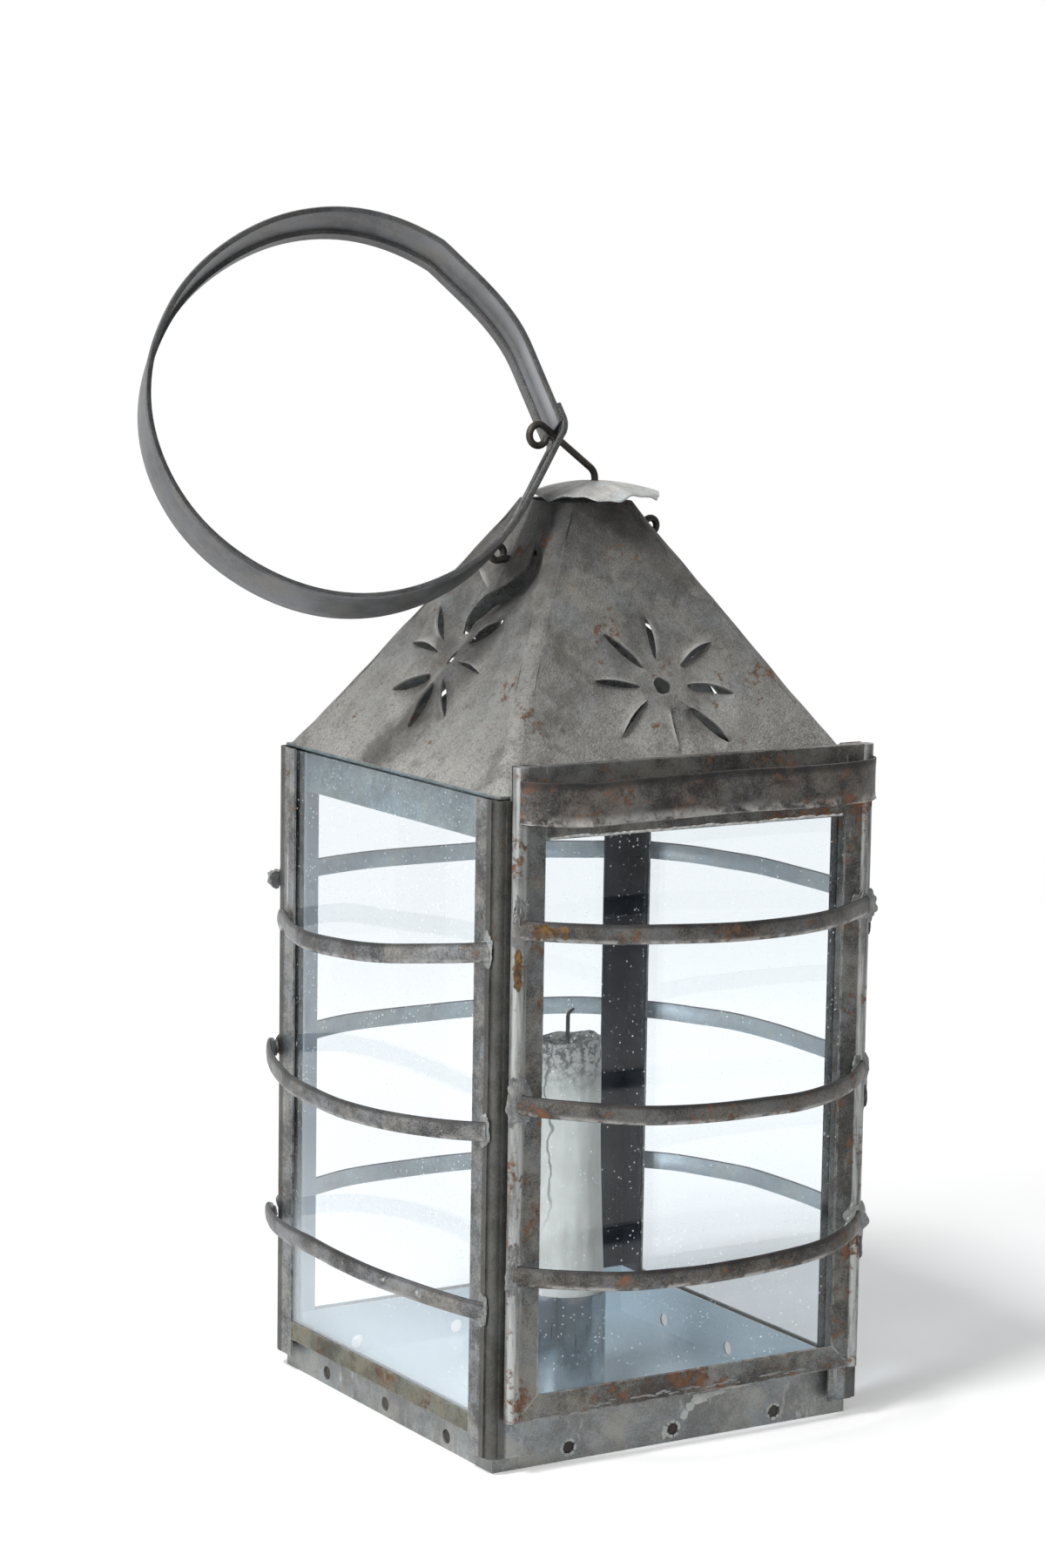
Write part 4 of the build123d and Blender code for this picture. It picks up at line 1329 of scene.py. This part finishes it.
# %% Sweep
def sweep(stations, profile):
    """Skin of a cross-section carried along stations of origin, side axis, outward axis and scale."""
    points = []
    for origin, side, out, scale in stations:
        points += [origin + side * (w * scale) + out * (r * scale) for w, r in profile]
    size = len(profile)
    faces = ring_faces(len(stations), size)
    last = (len(stations) - 1) * size
    faces.append(tuple(range(size)))
    faces.append(tuple(last + i for i in reversed(range(size))))
    return points, faces


print("sections can be swept")

# %% Carrying ring
RING_SECTION = [(-9.9, -0.3), (-9.6, -0.75), (-4.7, -1.25), (-4.4, -0.9), (-4.3, -0.1), (0.0, 0.0),
                (5.2, -0.15), (9.0, -0.3), (9.2, -0.7), (9.7, -0.7), (9.9, -0.2), (9.9, 0.6), (9.5, 1.05),
                (6.7, 1.1), (6.4, 0.5), (0.0, 0.8), (-5.2, 0.6), (-9.4, 0.5), (-9.9, 0.2)]
SHADED_HEMS = (0, 1, 2, 3, 7, 8, 9, 10)
RING_STRETCH = 2.9 * MM
RING_BULGE = 0.55 * MM
RUB_STATIONS = 34
stations = []
for k, spot in enumerate(route):
    ahead = route[min(k + 1, len(route) - 1)] - route[max(k - 1, 0)]
    flat_out = Vector((ahead.y, -ahead.x)).normalized()
    out = tip_way * flat_out.x + ring_up * flat_out.y
    stretch = RING_STRETCH * max(0.0, spot.y / RING_RADIUS) ** 2
    place = ring_middle + tip_way * spot.x + ring_up * (spot.y + stretch)
    bulge = RING_BULGE * wobble(place, 36 * MM, seed=5.0)
    stations.append((place + out * bulge, ring_normal, out, MM))
points, faces = sweep(stations, RING_SECTION)
carrying_ring = new_piece("carrying_ring", points, faces, ring_tin, "ring", ["ring_handle"])
# the hem faces take the painted shade finish
carrying_ring.data.materials.append(hem_shade_tin)
side_count = (len(stations) - 1) * len(RING_SECTION)
for number, face in enumerate(carrying_ring.data.polygons):
    if number < side_count and number % len(RING_SECTION) in SHADED_HEMS:
        face.material_index = 1
rub_values = []
for k, station in enumerate(stations):
    worn = max(0.0, 1 - k / RUB_STATIONS) ** 0.8 * (0.75 + 0.25 * wobble(station[0], 9 * MM, seed=6.0))
    rub_values += [worn if r < 0 else 0.0 for w, r in RING_SECTION]
rub = carrying_ring.data.attributes.new("rub", "FLOAT", "POINT")
rub.data.foreach_set("value", rub_values)
print("ring strip has", len(stations), "stations")

# %% [markdown]
# ## Guard strips
#
# Bowed strips keep hands and branches off the glass. Each is a narrow strip with a rounded face, bent
# out in the middle and soldered down at its ends. The solid's own box tells where a strip's ends are and
# how far it bows. The strips were bent by hand, so each has a shape of its own: how full its bow is on
# the far and the near half, and its lift, tilt and sag in millimetres. The left strips also droop at
# their far ends and reach a little over the post.

# %% Shapes of the guard strips
STRIP_SECTION = [(-2.75, -0.45), (2.55, -0.45), (2.8, -0.15), (2.8, 0.3), (2.45, 0.62), (1.5, 0.92),
                 (0.0, 1.05), (-1.5, 0.9), (-2.4, 0.6), (-2.8, 0.15)]
STRIP_SHAPE = {
    "guard_door_upper": (2.2, 2.2, 0.3, -1.1, 0.5), "guard_door_middle": (2.8, 2.8, 1.6, -1.0, 2.5),
    "guard_door_lower": (3.1, 3.1, 2.3, 1.0, 1.2), "guard_left_upper": (1.4, 3.1, 1.3, 2.85, 2.65),
    "guard_left_middle": (2.1, 2.6, 3.4, -3.1, 2.35), "guard_left_lower": (2.1, 2.6, 0.8, -1.35, -6.5),
    "guard_back_upper": (2.6, 2.6, 2.7, 0.0, 0.8), "guard_back_middle": (2.6, 2.6, 1.8, 0.0, 0.8),
    "guard_back_lower": (2.6, 2.6, 2.5, 0.0, 0.8), "guard_right_upper": (2.6, 2.6, 2.3, 0.9, 0.8),
    "guard_right_middle": (2.6, 2.6, 1.0, 0.6, 0.8), "guard_right_lower": (2.6, 2.6, 3.1, -0.2, 0.8),
}
TURN_OF_SIDE = {"door": 0, "right": 90, "back": 180, "left": LEFT}
FAR_DROOP = {"guard_left_upper": 6.0, "guard_left_middle": 6.0, "guard_left_lower": 2.6}
DROOP_FROM = 0.6
STRIP_STEPS = 90
STRIP_BULGE = 1.1 * MM
DOOR_OVERLAP = 3.4 * MM
SIDE_OVERLAP = 0.9 * MM
FAR_OVERLAP = {"guard_left_middle": 4.7 * MM, "guard_left_lower": 4.7 * MM}


def strip_path(name, along, outward):
    """Middle line of one strip, from its far end to its near end, with its points crowded at the ends."""
    low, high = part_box(name)
    middle = (low + high) / 2
    far_fullness, near_fullness, lift, tilt, sag = STRIP_SHAPE[name]
    seat = min(low.dot(outward), high.dot(outward))
    bow = abs((high - low).dot(outward)) - STRIP_BULGE
    half = abs((high - low).dot(along)) / 2
    near_reach = half + (DOOR_OVERLAP if "_door_" in name else SIDE_OVERLAP)
    far_reach = half + FAR_OVERLAP[name] if name in FAR_OVERLAP else near_reach
    path = []
    for k in range(STRIP_STEPS + 1):
        t = math.sin(math.pi * (k / STRIP_STEPS - 0.5))
        height = middle.z + (lift + tilt * t - sag * (1 - t * t)) * MM
        height -= FAR_DROOP.get(name, 0.0) * MM * (max(0.0, -t - DROOP_FROM) / (1 - DROOP_FROM)) ** 2
        reach, fullness = (far_reach, far_fullness) if t < 0 else (near_reach, near_fullness)
        stand = seat + bow * (1 - abs(t) ** fullness)
        spot = along * (middle.dot(along) + reach * t) + outward * stand + UP * height
        spot += outward * (0.35 * MM * wobble(spot, 16 * MM, seed=7.0)) * (1 - t ** 4)
        spot += UP * (0.3 * MM * wobble(spot, 20 * MM, seed=9.0))
        path.append(spot)
    return path


print("shapes of the guard strips:", len(STRIP_SHAPE))

# %% [markdown]
# The section is swept along that line. A point attribute stores how far across the strip a point lies, and
# the finish uses it for the dark upper edge and the pale lower one, partly wear and partly a painted
# highlight. The flat inner face gets a pale finish, a painted reflection of the bright room, that shows
# through the glass.

# %% Guard strips
STRIP_SHARP = math.radians(55)
strip_paths = {}


def paint_across(piece, profile):
    """Store how far across the strip each point lies, from -1 at its lower edge to 1 at its upper one."""
    widest = max(abs(w) for w, r in profile)
    count = len(piece.data.vertices) // len(profile)
    across = piece.data.attributes.new("across", "FLOAT", "POINT")
    across.data.foreach_set("value", [w / widest for w, r in profile] * count)


def guard_strip(name, body):
    """One bowed strip in place of its plain solid."""
    along, outward = side_axes(TURN_OF_SIDE[name.split("_")[1]])
    path = strip_path(name, along, outward)
    strip_paths[name] = (path, along, outward)
    stations = []
    for k, spot in enumerate(path):
        ahead = (path[min(k + 1, STRIP_STEPS)] - path[max(k - 1, 0)]).normalized()
        out = (outward - ahead * outward.dot(ahead)).normalized()
        upward = out.cross(ahead)
        stations.append((spot, upward if upward.z > 0 else -upward, out, MM))
    points, faces = sweep(stations, STRIP_SECTION)
    finish = strip_tin if body == "door" else side_strip_tin
    strip = new_piece(name + "_strip", points, faces, finish, body, [name], STRIP_SHARP)
    paint_across(strip, STRIP_SECTION)
    # the flat inner face takes the painted reflection finish
    strip.data.materials.append(strip_back_reflection_tin)
    for number in range(0, STRIP_STEPS * len(STRIP_SECTION), len(STRIP_SECTION)):
        strip.data.polygons[number].material_index = 1


for name in sorted(frame["nodes"]):
    if name.startswith("guard_"):
        guard_strip(name, "door" if "_door_" in name else "lantern_body")
print("guard strips made:", len(strip_paths))

# %% [markdown]
# ## The door's pull
#
# A wider band stands off the door's top plate, so that fingers can get behind it and lift the door. Its
# ends come round from the beads in a generous bend. It is swept like the strips, with its points
# crowded at the ends, where the bend is.

# %% Pull band
pull_low, pull_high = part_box("door_pull")
PULL_SECTION = [(-6.1, -0.35), (5.9, -0.35), (6.15, 0.0), (6.05, 0.5), (5.6, 0.6), (3.0, 0.45), (-3.0, 0.45),
                (-5.2, 0.6), (-5.9, 0.9), (-6.25, 0.45)]
PULL_STEPS = 110
PULL_REACH = 59.8 * MM
PULL_SEAT = -69.3 * MM
PULL_STAND = 8.2 * MM
PULL_THICK = 0.9 * MM
PULL_DIP = 0.9 * MM
PULL_WAVE = 0.4 * MM
pull_bow = -pull_low.y + PULL_SEAT - PULL_STAND - PULL_THICK
pull_z = (pull_low.z + pull_high.z) / 2
path = []
for k in range(PULL_STEPS + 1):
    t = math.sin(math.pi * (k / PULL_STEPS - 0.5))
    bend = math.sqrt(max(0.0, 1 - abs(t) ** 7))
    y = PULL_SEAT - (PULL_STAND + pull_bow * (1 - t * t)) * bend
    dip = PULL_DIP * math.exp(-((t + 0.72) / 0.2) ** 2)
    z = pull_z - dip + PULL_WAVE * wobble(Vector((PULL_REACH * t, 0, 0)), 30 * MM, seed=2.0)
    path.append(Vector((PULL_REACH * t, y, z)))
stations = []
for k, spot in enumerate(path):
    ahead = (path[min(k + 1, PULL_STEPS)] - path[max(k - 1, 0)]).normalized()
    stations.append((spot, UP, Vector((ahead.y, -ahead.x, 0)).normalized(), MM))
points, faces = sweep(stations, PULL_SECTION)
pull_band = new_piece("pull_band", points, faces, pull_tin, "door", ["door_pull"],
                      STRIP_SHARP)
paint_across(pull_band, PULL_SECTION)
print("pull band stands", round((PULL_SEAT - pull_low.y) / MM, 1), "mm off the door")

# %% [markdown]
# ## Solder
#
# Each strip's end sits in a smear of solder. A smear is a ball of many faces, squashed onto the sheet
# and pushed about by noise, so no two are alike. A plain ball would look like a bead, and a bump map
# would have no edge. The left strips have small smears, the door's left ends have a second drop above
# the first, and one bump stands out on the back post.

# %% Lumps
LUMP_DETAIL = 4
LUMP_BROAD = 0.34
LUMP_FINE = 0.20
LUMP_BACK = -0.3


def lump(middle, along, upward, outward, half_sizes, seed, uneven=1.0):
    """One squashed, uneven ball with a flattened back; its half sizes are in millimetres."""
    wide, tall, thick = (size * MM for size in half_sizes)
    ball = bmesh.new()
    bmesh.ops.create_icosphere(ball, subdivisions=LUMP_DETAIL, radius=1.0)
    points = []
    for corner in ball.verts:
        way = corner.co.copy()
        broad = LUMP_BROAD * noise.noise(way * 1.5 + Vector((seed, 0, 0)))
        fine = LUMP_FINE * noise.noise(way * 3.6 + Vector((0, seed, 0)))
        place = way * (1 + uneven * (broad + fine))
        points.append(middle + along * (place.x * wide) + upward * (place.y * tall)
                      + outward * (max(place.z, LUMP_BACK) * thick))
    faces = [tuple(v.index for v in f.verts) for f in ball.faces]
    ball.free()
    return points, faces


print("lumps can be made")

# %% Solder smears
SMEAR_SHIFT = 1.0 * MM
LEFT_FAR_SMEAR = (1.5, 2.2, 0.6)
LEFT_NEAR_SMEAR = (2.7, 4.6, 0.75)
DROP_SHIFT = Vector((0.6, -0.3, 4.6)) * MM
DROP_SMEAR = (2.4, 4.4, 1.1)
BUMP_ALONG = 3.2 * MM
BUMP_OUT = 0.3 * MM
BUMP_SMEAR = (2.4, 2.8, 3.2)


def smear_sizes(name, way, seed):
    """Half sizes of one smear; way is 1 at the strip's first end and -1 at its last."""
    if "_left_" in name:
        return LEFT_FAR_SMEAR if way == 1 else LEFT_NEAR_SMEAR
    return 3.6 + 0.6 * math.sin(seed), 6.2 + 1.3 * math.sin(2 * seed), 1.2


for number, (name, (path, along, outward)) in enumerate(sorted(strip_paths.items())):
    lumps = []
    body = "door" if "_door_" in name else "lantern_body"
    for way, end in ((1, path[0]), (-1, path[-1])):
        seed = number * 3.1 + way
        sizes = smear_sizes(name, way, seed)
        lumps.append(lump(end + along * (way * SMEAR_SHIFT), along, UP, outward, sizes, seed))
        if name == "guard_back_upper" and way == -1:
            spot = end + along * BUMP_ALONG + outward * BUMP_OUT
            lumps.append(lump(spot, along, UP, outward, BUMP_SMEAR, seed))
        if body == "door" and way == 1:
            lumps.append(lump(end + DROP_SHIFT, along, UP, outward, DROP_SMEAR, seed + 0.7, uneven=1.5))
    points, faces = join(lumps)
    new_piece("solder_" + name, points, faces, solder_grey, body)
print("solder smears:", 2 * len(strip_paths))

# %% [markdown]
# ## Flux, plugged holes and crusts
#
# Burnt flux left amber stains on the door's upper strip and below its left end. They are thin lumps that
# lie on the strip, placed by the strip's own path.

# %% Flux stains
STAIN_STAND = 0.95 * MM
STRIP_STAINS = {11: (1.6, 1.9, 0.2), 13: (1.5, 2.1, 0.15), 15: (1.3, 1.2, 0.2), 17: (1.2, 1.5, 0.15)}
RUN_SIZES = (1.3, 2.4, 0.4)
RUN_DROPS = ((-8.0, 3.3), (-11.5, 5.1), (-14.5, 8.2))
stains = []
path, along, outward = strip_paths["guard_door_upper"]
for k, half_sizes in STRIP_STAINS.items():
    ahead = (path[k + 1] - path[k]).normalized()
    out = (outward - ahead * outward.dot(ahead)).normalized()
    stains.append(lump(path[k] + out * STAIN_STAND, ahead, UP, out, half_sizes, k, uneven=1.7))
for drop, seed in RUN_DROPS:
    spot = path[0] + Vector((-0.2, -0.6, drop)) * MM
    stains.append(lump(spot, along, UP, outward, RUN_SIZES, seed, uneven=1.5))
points, faces = join(stains)
new_piece("flux_stains", points, faces, flux_stain, "door")
print("flux stains:", len(stains))

# %% [markdown]
# The tray's air holes in front and on the left are closed by a dark, flat plug just behind the sheet's
# face. Around the front holes old solder has left a broken white ring of crumbs, and more crumbs lie on
# the tray's front. Bits of it also cling along the foot of the door's bottom rail.

# %% Dark plugs in the air holes
AIR_HOLE_Z = 3.8 * MM
AIR_HOLE_GAP = 36 * MM
TRAY_FACE = 61.7 * MM
PLUG_DEPTH = 0.55 * MM
PLUG_SIZES = (2.12, 2.12, 0.25)


def air_hole(turn, k):
    """Place of a plug in one of the three air holes of a side, with the side's directions."""
    along, outward = side_axes(turn)
    return outward * (TRAY_FACE - PLUG_DEPTH) + along * (AIR_HOLE_GAP * k) + UP * AIR_HOLE_Z, along, outward


plugs = []
for turn in (0, LEFT):
    for k in (-1, 0, 1):
        middle, along, outward = air_hole(turn, k)
        plugs.append(lump(middle, along, UP, outward, PLUG_SIZES, 5.0 + k + turn, uneven=0.1))
points, faces = join(plugs)
new_piece("dark_hole_plugs", points, faces, iron_wire, "lantern_body")
print("air holes clogged:", len(plugs))

# %% Crust on the tray
CRUMB_STEPS = 22
CRUMB_RING = 2.3 * MM
CRUMB_SIZES = (0.5, 0.5, 0.22)
CRUMB_GAPS = -0.1
CRUST_THICK = 0.22
TRAY_CRUST = ((13.5, 12.6, 4.5, 0.9), (9.5, 11.6, 3.2, 1.6), (6.0, 9.8, 1.6, 1.4), (4.0, 7.6, 1.2, 1.6),
              (-3.0, 3.2, 0.8, 2.2), (22.0, 13.6, 6.0, 0.6))
crumbs = []
for k in (-1, 0, 1):
    middle, along, outward = air_hole(0, k)
    for step in range(CRUMB_STEPS):
        angle = math.tau * step / CRUMB_STEPS
        if noise.noise(Vector((2 * math.cos(angle), 2 * math.sin(angle), k + 0.4))) > CRUMB_GAPS:
            round_hole = along * (CRUMB_RING * math.cos(angle)) + UP * (CRUMB_RING * math.sin(angle))
            spot = middle + outward * (0.5 * MM) + round_hole
            crumbs.append(lump(spot, along, UP, outward, CRUMB_SIZES, step + k))
for x, z, wide, tall in TRAY_CRUST:
    spot = outward * TRAY_FACE + along * (x * MM) + UP * (z * MM)
    crumbs.append(lump(spot, along, UP, outward, (wide, tall, CRUST_THICK), x))
points, faces = join(crumbs)
new_piece("tray_solder_crust", points, faces, crust_white, "lantern_body")
print("crumbs on the tray:", len(crumbs))

# %% Crust on the door's bottom rail
RAIL_CRUST_STEPS = 52
RAIL_CRUST_FROM = -33
RAIL_CRUST_GAP = 1.45
RAIL_CRUST_THICK = 0.12
rail_low, rail_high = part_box("door_bottom_rail")
along, outward = side_axes(0)
scrapes = []
for k in range(RAIL_CRUST_STEPS):
    x = RAIL_CRUST_FROM + RAIL_CRUST_GAP * k
    if noise.noise(Vector((x * 0.11, 2.0, 0.0))) > -0.12:
        z = rail_low.z + (1.6 + 1.3 * noise.noise(Vector((x * 0.3, 0.0, 5.0)))) * MM
        half_sizes = (1.1, 0.24 + 0.3 * noise.noise(Vector((x, 3.0, 0.0))), RAIL_CRUST_THICK)
        spot = outward * -rail_low.y + along * (x * MM) + UP * z
        scrapes.append(lump(spot, along, UP, outward, half_sizes, k))
points, faces = join(scrapes)
new_piece("rail_solder_crust", points, faces, solder_grey, "door")
print("crumbs on the rail:", len(scrapes))

# %% [markdown]
# ## The line of dust
#
# Dust has gathered in a fuzzy line where the door's top plate meets the glass. A thread with an uneven
# thickness is enough: it is a round section swept along the plate's lower edge, moved by a slow and a
# quick noise.

# %% Line of dust
DUST_STEPS = 160
DUST_HALF = 50
DUST_RADIUS = 0.42


def round_profile(radius, count):
    """Round cross-section for a sweep."""
    turns = [math.tau * k / count for k in range(count)]
    return [(radius * math.cos(a), radius * math.sin(a)) for a in turns]


plate_low, plate_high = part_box("door_top_plate")
stations = []
for k in range(DUST_STEPS + 1):
    x = (-DUST_HALF + 2 * DUST_HALF * k / DUST_STEPS) * MM
    fuzz = wobble(Vector((x, 0, 0)), 1.3 * MM, seed=4.0)
    drift = wobble(Vector((x, 0, 0)), 9 * MM, seed=6.0)
    spot = Vector((x, plate_low.y + 0.1 * MM, plate_low.z + (0.5 * drift + 0.25 * fuzz - 0.1) * MM))
    stations.append((spot, UP, Vector((0, -1, 0)), MM * (0.9 + 0.5 * fuzz)))
points, faces = sweep(stations, round_profile(DUST_RADIUS, 8))
new_piece("dust_line", points, faces, fluff_grey, "door")
print("line of dust is", 2 * DUST_HALF, "mm long")

# %% [markdown]
# ## Candle and wick
#
# The candle has burnt before: its rim is uneven, its top is a shallow bowl, and wax has run down its
# sides. A turned shape with noise in its radius gives the drips, and the rim's height changes with
# the angle, highest on one side.

# %% Candle shape
candle_low, candle_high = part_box("candle")
FOOT_TOP = 31.7 * MM
NECK_Z = 70 * MM
FOOT_RADIUS = candle_high.x
NECK_RADIUS = 10.5 * MM
TOP_RADIUS = 10.0 * MM
RIM_PEAK = math.radians(-31.6)
RIM_FALL = 0.9 * MM
RIM_WAVE = 0.6 * MM


def level_way(angle):
    """Level direction at an angle."""
    return Vector((math.cos(angle), math.sin(angle), 0))


def candle_radius(z):
    """Plain radius of the candle at a height."""
    if z < FOOT_TOP:
        return FOOT_RADIUS
    if z < NECK_Z:
        return FOOT_RADIUS + (NECK_RADIUS - FOOT_RADIUS) * (z - FOOT_TOP) / (NECK_Z - FOOT_TOP)
    return NECK_RADIUS + (TOP_RADIUS - NECK_RADIUS) * (z - NECK_Z) / (candle_high.z - NECK_Z)


def rim_height(angle):
    """Height of the burnt rim, highest on one side."""
    fall = RIM_FALL * (1 - math.cos(angle - RIM_PEAK))
    wave = RIM_WAVE * noise.noise(level_way(angle) * 2.1 + Vector((4, 0, 0)))
    return candle_high.z - RIM_WAVE - fall + wave


print("candle is", round(candle_high.z / MM), "mm tall")

# %% Candle
CANDLE_SPOKES = 96
CANDLE_RINGS = 60
DRIP = 0.35 * MM
SMALL_DRIP = 0.18 * MM
BOWL = 3.2 * MM
BOWL_RINGS = ((0.93, 0.0), (0.85, -0.5), (0.65, -0.85), (0.35, -1.0), (0.12, -0.9))
spoke_angles = [math.tau * spoke / CANDLE_SPOKES for spoke in range(CANDLE_SPOKES)]
candle_points = []
for ring in range(CANDLE_RINGS + 1):
    for angle in spoke_angles:
        z = candle_low.z + (rim_height(angle) - candle_low.z) * ring / CANDLE_RINGS
        way = level_way(angle)
        run = Vector((3 * way.x, 3 * way.y, z * 22))
        radius = candle_radius(z)
        if z > FOOT_TOP:
            radius += DRIP * noise.noise(run) + SMALL_DRIP * noise.noise(run * 3.1)
        candle_points.append(way * radius + UP * z)
for share, depth in BOWL_RINGS:
    for angle in spoke_angles:
        rim = rim_height(angle) * share + (candle_high.z - 1.2 * MM) * (1 - share)
        candle_points.append(level_way(angle) * (TOP_RADIUS * share) + UP * (rim + 0.12 * MM + depth * BOWL))
rows = CANDLE_RINGS + 1 + len(BOWL_RINGS)
candle_faces = ring_faces(rows, CANDLE_SPOKES)
candle_faces.append(tuple(reversed(range(CANDLE_SPOKES))))
last = (rows - 1) * CANDLE_SPOKES
candle_faces.append(tuple(last + k for k in range(CANDLE_SPOKES)))
new_piece("burnt_candle", candle_points, candle_faces, wax, "candle", ["candle"])
print("candle has", len(candle_faces), "faces")

# %% [markdown]
# The wick is a thin tube that stands up out of the bowl, bends over at its end and grows thinner there,
# as burnt cotton does. It is a sweep again: first a straight run of stations, then an arc of them.

# %% Wick
wick_low, wick_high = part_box("wick")
WICK_RISE = 4.9 * MM
WICK_BEND = 2.6 * MM
WICK_TURN = math.radians(75)
WICK_RADIUS = 0.62
WICK_THINNING = 0.35
STRAIGHT_STEPS = 8
BEND_STEPS = 12
wick_way = level_way(RIM_PEAK)
wick_side = UP.cross(wick_way)
stations = []
for k in range(STRAIGHT_STEPS):
    spot = UP * (wick_low.z - BOWL + (WICK_RISE + BOWL) * k / STRAIGHT_STEPS)
    stations.append((spot, wick_way, wick_side, MM))
for k in range(BEND_STEPS + 1):
    turn = WICK_TURN * k / BEND_STEPS
    spot = wick_way * (WICK_BEND * (1 - math.cos(turn)))
    spot += UP * (wick_low.z + WICK_RISE + WICK_BEND * math.sin(turn))
    side = wick_way * math.cos(turn) - UP * math.sin(turn)
    stations.append((spot, side, wick_side, MM * (1 - WICK_THINNING * k / BEND_STEPS)))
points, faces = sweep(stations, round_profile(WICK_RADIUS, 10))
new_piece("burnt_wick", points, faces, char, "candle", ["wick"])
print("wick ends at", round(wick_high.z / MM, 1), "mm")

# %% [markdown]
# ## Floor, background and light
#
# The lantern stands on a white sweep. The floor is dull white, so that it takes the soft shadow, with a
# faint glow for the camera, for reflections and through the glass, which lifts the shadow as a lit
# studio floor would. Further out it fades into the white background.

# %% Floor finish
FADE_START = 0.42
FADE_END = 0.95
FLOOR_GLOW = 0.25
FAR_GLOW = 0.45
GLOW_FROM = 0.10
GLOW_FULL = 0.60
floor_white, tree, output = new_material("white_sweep")
place = object_place(tree)
spread = vector_maths(tree, "LENGTH", place)
paper = soft_step(tree, cloud(tree, place, scale=400, detail=2, rough=0.5), 0.2, 0.8)
colour = mix_colour(tree, paper, (0.86, 0.86, 0.87, 1), (0.88, 0.88, 0.885, 1))
dull_white = node(tree, "ShaderNodeBsdfDiffuse", {"Color": colour})
path = node(tree, "ShaderNodeLightPath").outputs
seen = most(tree, path["Is Camera Ray"], most(tree, path["Is Glossy Ray"], path["Is Transmission Ray"]))
further = soft_step(tree, spread, GLOW_FROM, GLOW_FULL, FLOOR_GLOW, FAR_GLOW)
glow = node(tree, "ShaderNodeEmission", {"Strength": times(tree, seen, further)})
lit = node(tree, "ShaderNodeAddShader", {0: dull_white.outputs[0], 1: glow.outputs[0]})
gone = node(tree, "ShaderNodeBsdfTransparent")
fade = soft_step(tree, spread, FADE_START, FADE_END)
faded = node(tree, "ShaderNodeMixShader", {0: fade, 1: lit.outputs[0], 2: gone.outputs[0]})
tree.links.new(faded.outputs[0], output.inputs["Surface"])
print("floor fades out at", FADE_END, "m")

# %% Floor
FLOOR_REACH = 1.6
corners = [(FLOOR_REACH * x, FLOOR_REACH * y, 0) for x, y in ((-1, -1), (1, -1), (1, 1), (-1, 1))]
floor_mesh = bpy.data.meshes.new("white_floor")
floor_mesh.from_pydata(corners, [], [(0, 1, 2, 3)])
floor_mesh.materials.append(floor_white)
white_floor = bpy.data.objects.new("white_floor", floor_mesh)
scene.collection.objects.link(white_floor)
white_floor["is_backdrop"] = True
print("floor is", 2 * FLOOR_REACH, "m wide")

# %% [markdown]
# The background is plain white for the camera and through the glass. In mirror images it is darker on
# the camera's side, as a room is behind the one who looks, and that keeps the metal from turning
# white. To dull surfaces it gives a weak, even light.

# %% Background
AMBIENT = 0.31
CAMERA_SIDE = 0.16
BACKDROP_WAY = (0.10, 0.995, 0.0)
ROOM_EDGES = (-0.75, 0.35)
world = bpy.data.worlds.new("white_studio")
world.use_nodes = True
tree = world.node_tree
tree.nodes.clear()
path = node(tree, "ShaderNodeLightPath").outputs
way = tree.nodes.new("ShaderNodeTexCoord").outputs["Generated"]
room = soft_step(tree, vector_maths(tree, "DOT_PRODUCT", way, BACKDROP_WAY), *ROOM_EDGES, CAMERA_SIDE, 1.0)
shown = most(tree, path["Is Camera Ray"], path["Is Transmission Ray"])
direct = most(tree, shown, times(tree, path["Is Glossy Ray"], room))
seen = most(tree, shown, path["Is Glossy Ray"])
ambient = times(tree, maths(tree, "SUBTRACT", 1.0, seen), AMBIENT)
sky = node(tree, "ShaderNodeBackground", {"Color": (1, 1, 1, 1), "Strength": plus(tree, direct, ambient)})
tree.links.new(sky.outputs[0], tree.nodes.new("ShaderNodeOutputWorld").inputs["Surface"])
scene.world = world
scene.view_settings.view_transform = "Standard"
print("background set")

# %% [markdown]
# Three soft lamps do the rest: a small one high on the left casts the shadow, a tall one on the left
# gives the posts and the ring their long highlights, and a weak one in front opens the dark sides. Area
# lamps are used because their size sets how soft a shadow is.

# %% Lamps
LAMPS = {
    "left_softbox": (Vector((-0.95, -0.30, 1.70)), (0.36, 0.36), 22.0),
    "left_strip": (Vector((-1.35, -0.45, 0.75)), (0.70, 1.10), 11.5),
    "front_fill": (Vector((-0.3, -1.7, 0.7)), (0.9, 0.9), 4.5),
}
for name, (place, size, power) in LAMPS.items():
    lamp = bpy.data.lights.new(name, "AREA")
    lamp.shape = "RECTANGLE"
    lamp.size, lamp.size_y = size
    lamp.energy = power
    holder = bpy.data.objects.new(name, lamp)
    holder.location = place
    holder.rotation_mode = "QUATERNION"
    holder.rotation_quaternion = (CAMERA_TARGET - place).to_track_quat("-Z", "Y")
    scene.collection.objects.link(holder)
print("lamps:", ", ".join(LAMPS))

# %% [markdown]
# ## Size and finish
#
# The looks must not change the size. The box of the solids and the box of the dressed lantern are
# put side by side.

# %% Put the sizes side by side
dressed_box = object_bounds()
sizes = {"solids": [list(corner) for corner in solid_box], "dressed": [list(corner) for corner in dressed_box]}
